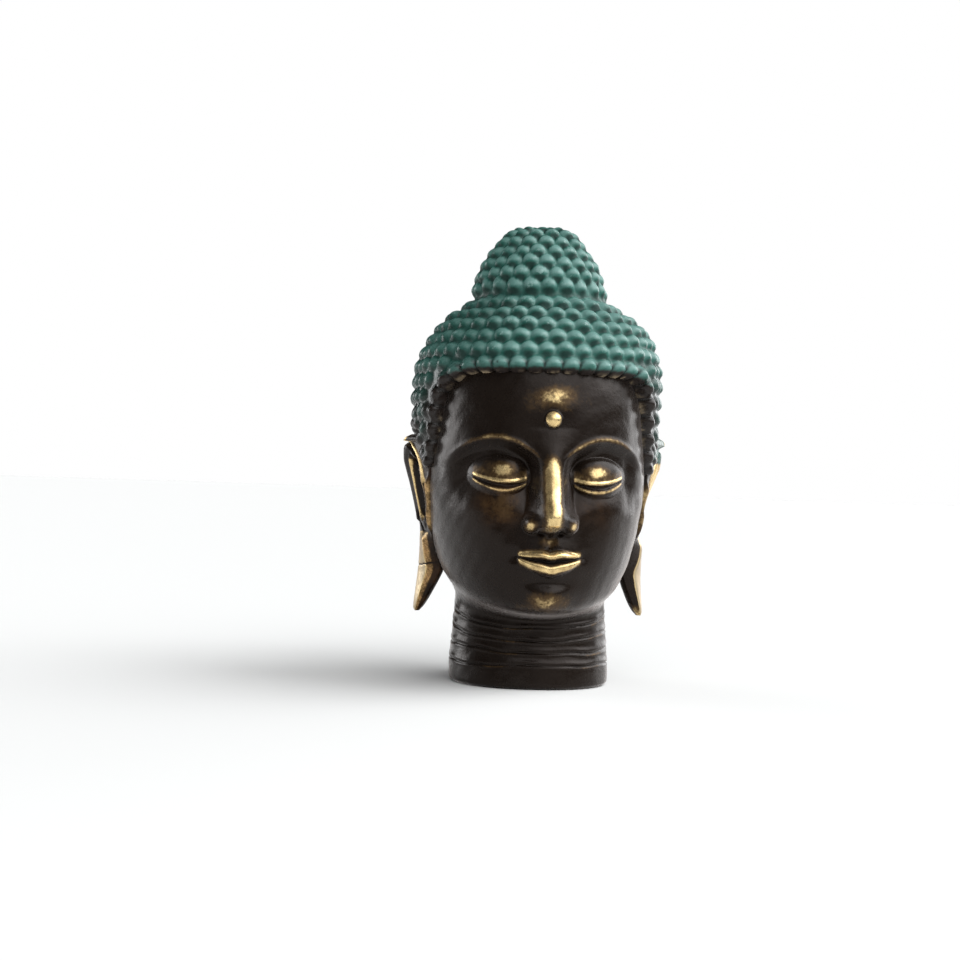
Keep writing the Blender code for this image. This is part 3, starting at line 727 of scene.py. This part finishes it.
def curlTree():
    # raises the surface over each curl centre, steeper below its crest than above, and keeps its height
    tree = bpy.data.node_groups.new("curls", "GeometryNodeTree")
    face = tree.interface
    face.new_socket("Geometry", in_out="INPUT", socket_type="NodeSocketGeometry")
    face.new_socket("Curl centres", in_out="INPUT", socket_type="NodeSocketObject")
    for name, value in (("Curl reach", hairLook["curlReach"] * millimetre),
                        ("Curl height", hairLook["curlHeight"] * millimetre),
                        ("Hang", hairLook["curlHang"]), ("Unevenness", hairLook["unevenness"]),
                        ("Overlap", hairLook["curlOverlap"] * millimetre)):
        socket = face.new_socket(name, in_out="INPUT", socket_type="NodeSocketFloat")
        socket.default_value = value
    for name, value in (("Softening", hairLook["softening"]), ("Seed", hairLook["unevenSeed"])):
        face.new_socket(name, in_out="INPUT", socket_type="NodeSocketInt").default_value = value
    face.new_socket("Finish", in_out="INPUT", socket_type="NodeSocketMaterial")
    face.new_socket("Geometry", in_out="OUTPUT", socket_type="NodeSocketGeometry")
    nodes = tree.nodes
    links = tree.links
    given = nodes.new("NodeGroupInput").outputs
    centres = nodes.new("GeometryNodeObjectInfo")
    links.new(given["Curl centres"], centres.inputs["Object"])
    normal = nodes.new("GeometryNodeInputNormal").outputs["Normal"]
    position = nodes.new("GeometryNodeInputPosition").outputs["Position"]

    def vector(operation, first, second):
        node = nodes.new("ShaderNodeVectorMath")
        node.operation = operation
        for source, socket in zip((first, second), node.inputs):
            if isinstance(source, tuple):
                socket.default_value = source
            elif source is not None:
                links.new(source, socket)
        return node.outputs["Value" if operation in ("DOT_PRODUCT", "LENGTH") else "Vector"]

    def scaled(direction, length):
        node = nodes.new("ShaderNodeVectorMath")
        node.operation = "SCALE"
        links.new(direction, node.inputs[0])
        links.new(length, node.inputs["Scale"])
        return node.outputs["Vector"]

    def number(operation, first, second=0.0):
        node = nodes.new("ShaderNodeMath")
        node.operation = operation
        for source, socket in zip((first, second), node.inputs):
            if isinstance(source, float):
                socket.default_value = source
            else:
                links.new(source, socket)
        return node.outputs[0]

    def stored(geometry, name, value):
        node = nodes.new("GeometryNodeStoreNamedAttribute")
        node.data_type = "FLOAT"
        node.domain = "POINT"
        node.inputs["Name"].default_value = name
        links.new(geometry, node.inputs["Geometry"])
        links.new(value, node.inputs["Value"])
        return node.outputs["Geometry"]

    def softened(value):
        node = nodes.new("GeometryNodeBlurAttribute")
        node.data_type = "FLOAT"
        links.new(value, node.inputs["Value"])
        links.new(given["Softening"], node.inputs["Iterations"])
        return node.outputs["Value"]

    across = vector("CROSS_PRODUCT", normal, (0.0, 0.0, 1.0))
    down = vector("NORMALIZE", vector("CROSS_PRODUCT", normal, across), None)
    # where the surface is nearly level, at the top of the knot, a curl is round
    steep = number("MINIMUM", number("MULTIPLY", vector("LENGTH", across, None), 3.0), 1.0)

    def curlFrom(place):
        # height and fall of the curl whose centre is nearest to the place
        near = nodes.new("GeometryNodeProximity")
        near.target_element = "POINTS"
        links.new(centres.outputs["Geometry"], near.inputs[0])
        which = nodes.new("GeometryNodeSampleNearest")
        which.domain = "POINT"
        links.new(centres.outputs["Geometry"], which.inputs["Geometry"])
        if place is not None:
            links.new(place, near.inputs["Sample Position"])
            links.new(place, which.inputs["Sample Position"])
        offset = vector("SUBTRACT", position, near.outputs["Position"])
        away = number("ADD", vector("LENGTH", offset, None), 0.00001)
        fall = number("MULTIPLY", number("DIVIDE", vector("DOT_PRODUCT", offset, down), away), steep)
        reach = number("SUBTRACT", 1.0, number("MULTIPLY", fall, given["Hang"]))
        share = number("DIVIDE", away, number("MULTIPLY", reach, given["Curl reach"]))
        profile = nodes.new("ShaderNodeFloatCurve")
        curve = profile.mapping.curves[0]
        for spot, height in curlProfile:
            curve.points.new(spot, height)
        curve.points[0].location = (0.0, 1.0)
        curve.points[-1].location = (1.0, 0.0)
        profile.mapping.update()
        links.new(share, profile.inputs["Value"])
        uneven = nodes.new("FunctionNodeRandomValue")
        uneven.data_type = "FLOAT"
        links.new(which.outputs["Index"], uneven.inputs["ID"])
        links.new(given["Seed"], uneven.inputs["Seed"])
        links.new(number("SUBTRACT", 1.0, given["Unevenness"]), uneven.inputs[2])
        links.new(number("ADD", 1.0, given["Unevenness"]), uneven.inputs[3])
        return number("MULTIPLY", profile.outputs["Value"], uneven.outputs[1]), fall

    own, fall = curlFrom(None)
    below = curlFrom(vector("ADD", position, scaled(down, given["Overlap"])))[0]
    crown = softened(number("MAXIMUM", own, below))
    # painted shade: the underside is marked dark where the curl falls off below its crest, less so in the pit
    # beneath it
    foot = number("SUBTRACT", 1.0, number("MINIMUM", own, 1.0))
    flank = number("MULTIPLY", foot, number("ADD", number("MULTIPLY", own, 3.4), 0.42))
    under = softened(number("MULTIPLY", fall, flank))
    raised = number("MULTIPLY", crown, given["Curl height"])
    grown = nodes.new("GeometryNodeInputNamedAttribute")
    grown.data_type = "FLOAT"
    grown.inputs["Name"].default_value = "grown"
    kept = stored(stored(given["Geometry"], "crown", crown), "under", under)
    move = nodes.new("GeometryNodeSetPosition")
    links.new(kept, move.inputs["Geometry"])
    links.new(scaled(normal, number("MULTIPLY", raised, grown.outputs[0])), move.inputs["Offset"])
    real = nodes.new("GeometryNodeRealizeInstances")
    links.new(move.outputs["Geometry"], real.inputs["Geometry"])
    finish = nodes.new("GeometryNodeSetMaterial")
    links.new(real.outputs["Geometry"], finish.inputs["Geometry"])
    links.new(given["Finish"], finish.inputs["Material"])
    result = nodes.new("NodeGroupOutput")
    links.new(finish.outputs["Geometry"], result.inputs["Geometry"])
    return tree


def hairMarks(angle, points, between, toLine):
    # the shares that the finish reads, each over the whole surface
    turned = np.degrees(np.abs(angle))
    z = points[..., 2]
    side = ease(40.0, 62.0, turned) * (1 - ease(58.0, 68.0, z))
    aged = ease(34.0, 62.0, turned) * (1 - ease(60.0, 74.0, z)) * (1 - 0.7 * ease(95.0, 130.0, turned))
    # painted shadow: the paint on the left side is darkened as if in shade
    paintedLeftShadow = 0.75 * (angle < 0) * ease(12.0, 40.0, turned) * (1 - ease(100.0, 150.0, turned))
    return {
        "rim": 1 - ease(0.3 + 0.8 * side, 1.9 + 2.2 * side, toLine),
        "grown": ease(0.1, 1.0, toLine),
        "faded": 0.75 * side * (1 - ease(2.0, 9.0, toLine)) + 0.35 * side,
        # painted shade in the gaps between the edge curls
        "gap": ease(0.35, 0.85, between) * (1 - ease(1.6, 3.4, toLine)),
        "glint": bump(toLine - 0.3, 0.2) * (1 - ease(0.25, 0.65, between)) * (1 - 0.4 * side),
        "aged": aged,
        "agedAndShadowed": np.maximum(aged, paintedLeftShadow * (1 - 0.5 * ease(76.0, 84.0, z))),
    }


def makeHairBase(edge, line):
    # the smooth cap, thin and scalloped at the hairline, where its rows of points gather
    turn = np.linspace(-1, 1, hairLook["columns"], endpoint=False)
    angles = math.pi * turn - 0.24 * np.sin(math.pi * turn)  # closer columns in front
    lowest = hairPlaceOfHeight(hairlineHeight(angles))
    fine = np.linspace(lowest.min(), len(hairRings) - 1.02, 4000)
    climb = (lengthsAlong(hairPoint(np.full_like(fine, math.pi / 2), fine))
             + lengthsAlong(hairPoint(np.zeros_like(fine), fine))) / 2
    levels = np.interp(np.linspace(0, climb[-1], hairLook["rows"]), climb, fine)
    gathered = levels[:, None] < lowest + 0.35 * np.gradient(levels)[:, None]
    places = np.where(gathered, lowest, levels[:, None])
    angle = np.broadcast_to(angles, places.shape)
    points = hairPoint(angle, places)
    step = 0.004
    around = hairPoint(angle + step, places) - hairPoint(angle - step, places)
    upward = hairPoint(angle, places + step) - hairPoint(angle, places - step)
    normal = np.cross(around, upward)
    normal /= np.linalg.norm(normal, axis=-1)[..., None] + 1e-9
    toLine = distanceTo(line, points)
    toEdgeCurl = distanceTo(edge, points)
    pitch = hairLook["curlPitch"]
    beside = np.sqrt(np.clip(toEdgeCurl ** 2 - (hairLook["edgeRow"] * pitch) ** 2, 0, None))
    between = np.clip(beside / (0.5 * pitch), 0, 1)
    rise = np.clip((toLine - hairLook["scallop"] * between ** 2) / hairLook["edgeRounding"], 0, 1)
    rise = np.sqrt(1 - (1 - rise) ** 2)
    points = points + normal * ((rise - 1) * hairLook["edgeThickness"] - hairLook["sunk"])[..., None]
    marks = hairMarks(angle, points, between, toLine)
    # the cap closes inside the head
    heart = np.array((0.0, 2.0, 52.0))
    inner = [heart + (points[0] - heart) * part for part in (0.8, 0.4, 0.02)]
    points = np.vstack([np.array(inner)[::-1], points])
    pad = np.zeros((len(inner), hairLook["columns"]))
    base = gridMesh("hairBase", points, paintFinish, {key: np.vstack([pad, marks[key]]) for key in marks})
    cleaner = bmesh.new()
    cleaner.from_mesh(base.data)
    bmesh.ops.remove_doubles(cleaner, verts=cleaner.verts, dist=0.000001)
    cleaner.to_mesh(base.data)
    cleaner.free()
    return base


def makeHair():
    edge, curls, line = curlLayout()
    centres = np.vstack([edge, curls])
    base = makeHairBase(edge, line)
    marks = bpy.data.meshes.new("curlCentres")
    marks.from_pydata(((centres + (0, depthShift, 0)) * millimetre).tolist(), [], [])
    guide = bpy.data.objects.new("curlCentres", marks)
    collection.objects.link(guide)
    grow = base.modifiers.new("curls", "NODES")
    grow.node_group = curlTree()
    sockets = {item.name: item.identifier for item in grow.node_group.interface.items_tree
               if item.in_out == "INPUT"}
    grow[sockets["Curl centres"]] = guide
    grow[sockets["Finish"]] = paintFinish
    shown = base.evaluated_get(bpy.context.evaluated_depsgraph_get())
    mesh = bpy.data.meshes.new_from_object(shown)
    mesh.shade_smooth()
    hair = bpy.data.objects.new("curledHair", mesh)
    collection.objects.link(hair)
    bpy.data.objects.remove(base)
    bpy.data.objects.remove(guide)
    return hair, len(centres)


curledHair, curlCount = makeHair()
print("hair made with", curlCount, "curls")


# Level cuts from the top to the tip: height, inner edge x and y, outer edge x and y, share of the thickness
earCuts = np.array((
    (51.4, 23.5, -4.4, 26.2, 2.4, 0.40),
    (50.7, 23.0, -5.8, 27.5, 3.3, 0.62),
    (50.0, 22.8, -6.4, 27.8, 3.7, 0.72),
    (49.0, 22.6, -6.8, 26.7, 3.6, 0.95),
    (47.6, 22.6, -6.9, 27.1, 4.0, 1.0),
    (45.6, 22.6, -6.9, 27.0, 4.4, 1.0),
    (43.0, 22.6, -6.6, 26.3, 4.8, 1.0),
    (40.5, 22.6, -6.2, 25.5, 5.1, 1.0),
    (38.0, 22.4, -5.5, 24.8, 5.4, 1.0),
    (35.5, 22.2, -4.7, 24.2, 5.4, 1.0),
    (33.4, 22.0, -3.8, 23.8, 5.2, 0.98),
    (30.8, 21.5, -2.6, 23.6, 4.9, 0.96),
    (28.3, 20.9, -1.4, 23.7, 4.8, 0.96),
    (25.5, 20.2, 0.0, 23.8, 4.8, 0.96),
    (22.8, 19.4, 1.3, 23.9, 4.9, 0.94),
    (20.4, 20.2, 2.1, 24.1, 5.0, 0.9),
    (18.0, 21.4, 2.9, 24.4, 5.1, 0.84),
    (16.0, 22.4, 3.6, 24.7, 5.2, 0.74),
    (14.5, 23.2, 4.3, 24.8, 5.3, 0.56),
    (13.7, 23.8, 4.7, 24.5, 5.2, 0.32),
))
# The casting is a little uneven: height, shift to the right of the left ear and of the right one
earLean = np.array((
    (13.7, 0.75, 0.30), (16.0, 0.65, 0.35), (20.0, 0.45, 0.60), (25.0, 0.40, 0.85), (27.5, 0.35, 0.75),
    (29.5, 0.25, 0.30), (34.0, 0.05, 0.25), (38.0, 0.0, 0.05), (42.0, 0.0, 0.35), (46.0, 0.0, 0.60),
    (49.0, 0.1, 0.60), (50.4, 0.5, 0.80), (51.4, 0.6, 0.80),
))
earLook = {
    "rows": 200,
    "across": 64,
    "thickness": 3.1,
    "slotDepth": 2.1,
    "slotFoot": (32.3, 33.0),  # the heights between which it begins, and those between which it ends
    "slotTop": (45.8, 46.6),
    "grooveDepth": 0.75,
    "gapDepth": 0.9,
    "hoopCentre": (0.56, 34.3),  # share across, height
    "hoopRadii": (0.26, 3.6),
    "hoopDepth": 0.55,
    "innerRim": 0.9,
    "outerRim": 0.75,
    "lobeTop": (28.5, 31.0),
    "lobePeak": 0.46,
    "crackHeight": 24.2,
    "crackDepth": 0.25,
    "leftDrop": 0.8,
    "copperFrom": (0.15, 0.28),  # share across where the lobe is rubbed, on the left ear and on the right
    "brassFrom": (0.44, 0.31),
}
# The carving across the plate, as shares from the inner edge to the outer one
earRidge = ((40.0, 0.27), (42.0, 0.26), (43.3, 0.29), (45.4, 0.38), (47.5, 0.56), (49.0, 0.80), (50.2, 0.99))
earRim = ((32.6, 0.54), (33.5, 0.38), (34.6, 0.27), (36.2, 0.19), (38.5, 0.23), (41.0, 0.31), (43.0, 0.37),
          (44.2, 0.43), (45.5, 0.55), (46.4, 0.72))
earCrest = ((32.6, 0.55), (33.5, 0.66), (35.6, 0.74), (38.0, 0.76), (41.0, 0.77), (43.0, 0.77), (45.6, 0.77),
            (46.4, 0.70))


def earForms(share, z):
    # where each carved form lies, over shares across the plate and heights along it
    ridge, rim, crest = [curveThrough(*zip(*line), z) for line in (earRidge, earRim, earCrest)]
    upper = ease(*earLook["slotFoot"], z)
    inSlot = upper * (1 - ease(*earLook["slotTop"], z))
    middle = (share - rim) / np.maximum(crest - rim, 0.04)
    outward = ease(0.0, 1.0, (share - crest) / (0.97 - crest))
    # a second line runs round the foot of the slot, between it and the lobe
    hoopAcross = (share - earLook["hoopCentre"][0]) / earLook["hoopRadii"][0]
    hoopUp = (z - earLook["hoopCentre"][1]) / earLook["hoopRadii"][1]
    return {
        "toRidge": share - ridge,
        "toRim": share - rim,
        "toCrest": share - crest,
        "onRidge": ease(39.6, 41.5, z),
        "inSlot": inSlot,
        "slot": ease(0.0, 0.3, middle) * (1 - ease(0.74, 1.0, middle)) * inSlot,
        "hoop": bump(np.hypot(hoopAcross, hoopUp) - 1.0, 0.16) * ease(0.35, -0.1, hoopUp),
        "groove": bump(share - rim + 0.10, 0.045) * ease(31.5, 34.5, z) * (1 - ease(40.0, 42.5, z)),
        "gap": bump(share - ridge - 0.11, 0.06) * ease(43.0, 46.0, z) * (1 - ease(49.4, 50.2, z)),
        "strip": ease(29.0, 32.0, z) * (1 - ease(40.0, 43.0, z)),
        "outer": outward * upper * (1 - ease(48.2, 49.2, z)),
        "lobe": 1 - ease(*earLook["lobeTop"], z),
    }


def earRelief(form, share, thick):
    front = -earLook["slotDepth"] * form["slot"] - earLook["grooveDepth"] * form["groove"]
    front = front - earLook["gapDepth"] * form["gap"]
    front = front - earLook["hoopDepth"] * form["hoop"] * (1 - form["slot"])
    front = front + 0.10 * bump(form["toCrest"], 0.04) * form["inSlot"]
    front = front + 0.12 * bump(form["toRim"], 0.045) * form["inSlot"]
    front = front + 0.35 * bump(form["toRidge"], 0.06) * form["onRidge"]
    front = front + earLook["innerRim"] * (1 - ease(0.05, 0.13, share)) * form["strip"]
    front = front + earLook["outerRim"] * form["outer"]
    # the lobe swells to a crest a little inside its middle
    peak = earLook["lobePeak"]
    fromPeak = np.where(share < peak, (peak - share) / peak, (share - peak) / (1 - peak))
    return front + (1 - fromPeak ** 1.2) * thick * form["lobe"]


def earWear(form, share, z, side):
    # how far each point is rubbed, and how warm it is: warm patina, and on the left ear a painted warm
    # reflection
    lobe = form["lobe"]
    start, bright = [earLook[key][0 if side < 0 else 1] for key in ("copperFrom", "brassFrom")]
    # the lobe: black inside, copper along its crease (on the left ear a painted warm reflection) and pale
    # brass outside
    lobeRub = 0.62 * ease(start, start + 0.12, share) + 0.30 * ease(bright, bright + 0.08, share)
    worn = [
        0.98 * bump(form["toCrest"], 0.034) * form["inSlot"] * (1 - 0.6 * ease(44.9, 46.0, z)),
        0.95 * bump(form["toRidge"], 0.085) * form["onRidge"],
        0.5 * bump(form["toRim"], 0.05) * form["inSlot"],
        lobeRub * ease(0.02, 0.2, lobe) * (1 - 0.6 * form["hoop"]),
    ]
    if side < 0:
        worn.append(0.62 * (1 - ease(0.08, 0.14, share)) * form["strip"])
        # painted reflection: the left ear's inner facet and inner strip take a warm copper tint
        copper = 1 - ease(0.40, 0.50, share)
        warm = np.maximum(0.15, copper) * np.maximum(lobe, 0.7 * (1 - ease(0.14, 0.2, share)))
    else:
        worn.append(0.95 * ease(0.45, 0.60, share) * (1 - ease(45.5, 47.0, z)) * ease(35.0, 38.0, z))
        worn.append(0.50 * (1 - ease(0.10, 0.20, share)) * form["strip"])
        worn.append(0.66 * (1 - ease(14.8, 17.4, z)))
        warm = 0.15 * lobe
    return reduce(np.maximum, worn), warm, ease(bright + 0.02, bright + 0.12, share) * lobe


def makeEar(name, side):  # side: -1 for the left ear, 1 for the right one
    numbers = np.arange(len(earCuts), dtype=float)
    places = np.linspace(0, len(earCuts) - 1, earLook["rows"])
    z, inX, inY, outX, outY, thick = [
        curveThrough(numbers, values, places)[:, None] for values in earCuts.T]
    half = earLook["thickness"] / 2 * thick
    acrossX = outX - inX
    acrossY = outY - inY
    width = np.hypot(acrossX, acrossY)
    turn = np.linspace(0, 2 * math.pi, 2 * earLook["across"], endpoint=False)[None, :]
    share = (1 - np.cos(turn)) / 2  # out along the front of the plate and back along its rear
    isFront = np.sin(turn) >= 0
    bulge = np.abs(np.sin(turn)) ** 0.4
    form = earForms(share, z)
    front = earRelief(form, share, thick)
    rear = -2 * half * (0.55 + 0.45 * bulge)
    edge = -0.55 * half
    lift = edge + (np.where(isFront, front, rear) - edge) * bulge
    x = inX + acrossX * share + acrossY / width * lift
    y = inY + acrossY * share - acrossX / width * lift
    crack = bump(z + 0.9 * share - earLook["crackHeight"], 0.13) * isFront * (side < 0)
    x = x - earLook["crackDepth"] * crack
    lean = curveThrough(earLean[:, 0], earLean[:, 1 if side < 0 else 2], z)
    drop = earLook["leftDrop"] * ease(48.6, 50.4, z) * (side < 0)
    points = np.stack([side * x + lean, y, z - drop + 0 * x], -1)
    rub, warm, faint = earWear(form, share, z, side)
    hollow = form["slot"] + form["groove"] + form["gap"] + 0.8 * form["hoop"] + crack
    order = slice(None, None, -1) if side > 0 else slice(None)
    marks = {
        "rub": np.where(isFront, rub, 0.6 * bump(share - 1.0, 0.06) * form["lobe"]) * (1 - 0.95 * crack),
        "warm": warm,
        "hollow": np.clip(hollow, 0, 1) * isFront,
        "faint": faint * isFront,
        "painted": ease(44.4, 51.0, z + 2.0 * share) * (1 - 0.7 * bump(share - 1.0, 0.1)) * (side > 0),
    }
    return gridMesh(name, points[::-1][:, order], brassFinish, {
        key: (values + 0 * share)[::-1][:, order] for key, values in marks.items()})


earRight = makeEar("earRight", 1)
earLeft = makeEar("earLeft", -1)
print("ears made")

for piece in (castHead, curledHair, earRight, earLeft):
    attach(piece, "root")
    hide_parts("buddha_head")


stageLook = {
    "floorRadius": 6.0,
    "floorSides": 96,
    "floorColour": (0.86, 0.86, 0.85),
    "floorRoughness": 0.7,
    "lightColour": (0.98, 0.99, 1.0, 1.0),
    "seenColour": (1.0, 1.0, 1.0, 1.0),
}


def makeFloor():
    floor = Finish("paleFloor")
    floor.link(stageLook["floorColour"], floor.shader.inputs["Base Color"])
    floor.shader.inputs["Roughness"].default_value = stageLook["floorRoughness"]
    mesh = bpy.data.meshes.new("floor")
    sides = stageLook["floorSides"]
    turn = np.linspace(0, 2 * math.pi, sides, endpoint=False)
    radius = stageLook["floorRadius"]
    verts = [(radius * math.cos(angle), radius * math.sin(angle), 0.0) for angle in turn]
    mesh.from_pydata(verts, [], [list(range(sides))])
    mesh.materials.append(floor.material)
    obj = bpy.data.objects.new("floor", mesh)
    collection.objects.link(obj)


# The soft boxes of the studio: direction, brightness, and the cosines of the angles where its light
# starts and is full
softBoxes = (
    ((0.74, -0.03, 0.67), 4.8, 0.84, 0.98),
    ((0.75, 0.65, 0.10), 3.8, 0.86, 0.98),
    ((0.55, -0.58, 0.60), 2.3, 0.86, 0.98),
    ((0.10, -0.65, 0.75), 1.65, 0.86, 0.98),
    ((-0.05, -0.95, 0.30), 0.40, 0.80, 0.97),
    ((0.00, 0.00, 1.00), 0.4, 0.70, 0.95),
    ((-0.85, 0.50, 0.12), 5.5, 0.94, 0.99),
    ((-1.00, 0.00, 0.15), 0.2, 0.70, 0.95),
    ((-0.55, -0.70, 0.45), 0.25, 0.90, 0.99),
)


def makeWorld():
    world = bpy.data.worlds.new("studio")
    bpy.context.scene.world = world
    world.use_nodes = True
    nodes = world.node_tree.nodes
    links = world.node_tree.links
    back = nodes["Background"]
    back.inputs["Color"].default_value = stageLook["lightColour"]
    seen = nodes.new("ShaderNodeBackground")
    seen.inputs["Color"].default_value = stageLook["seenColour"]
    path = nodes.new("ShaderNodeLightPath")
    mix = nodes.new("ShaderNodeMixShader")
    links.new(path.outputs["Is Camera Ray"], mix.inputs[0])
    links.new(back.outputs[0], mix.inputs[1])
    links.new(seen.outputs[0], mix.inputs[2])
    links.new(mix.outputs[0], nodes["World Output"].inputs[0])
    direction = nodes.new("ShaderNodeTexCoord").outputs["Generated"]
    total = None
    for towards, brightness, edge, full in softBoxes:
        lean = nodes.new("ShaderNodeVectorMath")
        lean.operation = "DOT_PRODUCT"
        links.new(direction, lean.inputs[0])
        lean.inputs[1].default_value = Vector(towards).normalized()
        spread = nodes.new("ShaderNodeMapRange")
        spread.interpolation_type = "SMOOTHSTEP"
        for socket, value in zip(("From Min", "From Max", "To Min", "To Max"), (edge, full, 0.0, brightness)):
            spread.inputs[socket].default_value = value
        links.new(lean.outputs["Value"], spread.inputs["Value"])
        if total is None:
            total = spread.outputs[0]
            continue
        added = nodes.new("ShaderNodeMath")
        links.new(total, added.inputs[0])
        links.new(spread.outputs[0], added.inputs[1])
        total = added.outputs[0]
    links.new(total, back.inputs["Strength"])


cameraLook = {
    "azimuth": -8.0,
    "distance": 0.325,
    "height": 0.0415,
    "aimLeft": 0.0112,  # the head stands this far right of the picture's middle
    "roll": 1.85,
    "pictureWidth": 960,
    "pixelsPerMillimetre": 4.79,
    "sensorWidth": 36.0,
    "clipRange": (0.01, 50.0),
}


def makeCamera():
    camera = bpy.data.cameras.new("camera")
    span = cameraLook["pictureWidth"] / cameraLook["pixelsPerMillimetre"] * millimetre
    camera.sensor_width = cameraLook["sensorWidth"]
    camera.lens = cameraLook["sensorWidth"] * cameraLook["distance"] / span
    camera.clip_start, camera.clip_end = cameraLook["clipRange"]
    obj = bpy.data.objects.new("camera", camera)
    turn = math.radians(cameraLook["azimuth"])
    away = Vector((math.sin(turn), -math.cos(turn), 0.0))
    right = Vector((math.cos(turn), math.sin(turn), 0.0))
    place = away * cameraLook["distance"]
    place.z = cameraLook["height"]
    aim = right * -cameraLook["aimLeft"]
    aim.z = cameraLook["height"]
    obj.location = place
    obj.rotation_euler = (aim - place).to_track_quat("-Z", "Y").to_euler()
    obj.rotation_euler.rotate_axis("Z", math.radians(cameraLook["roll"]))
    collection.objects.link(obj)
    bpy.context.scene.camera = obj


makeFloor()
makeWorld()
makeCamera()
bpy.context.scene.view_settings.view_transform = "Standard"
print("floor, light and camera made")
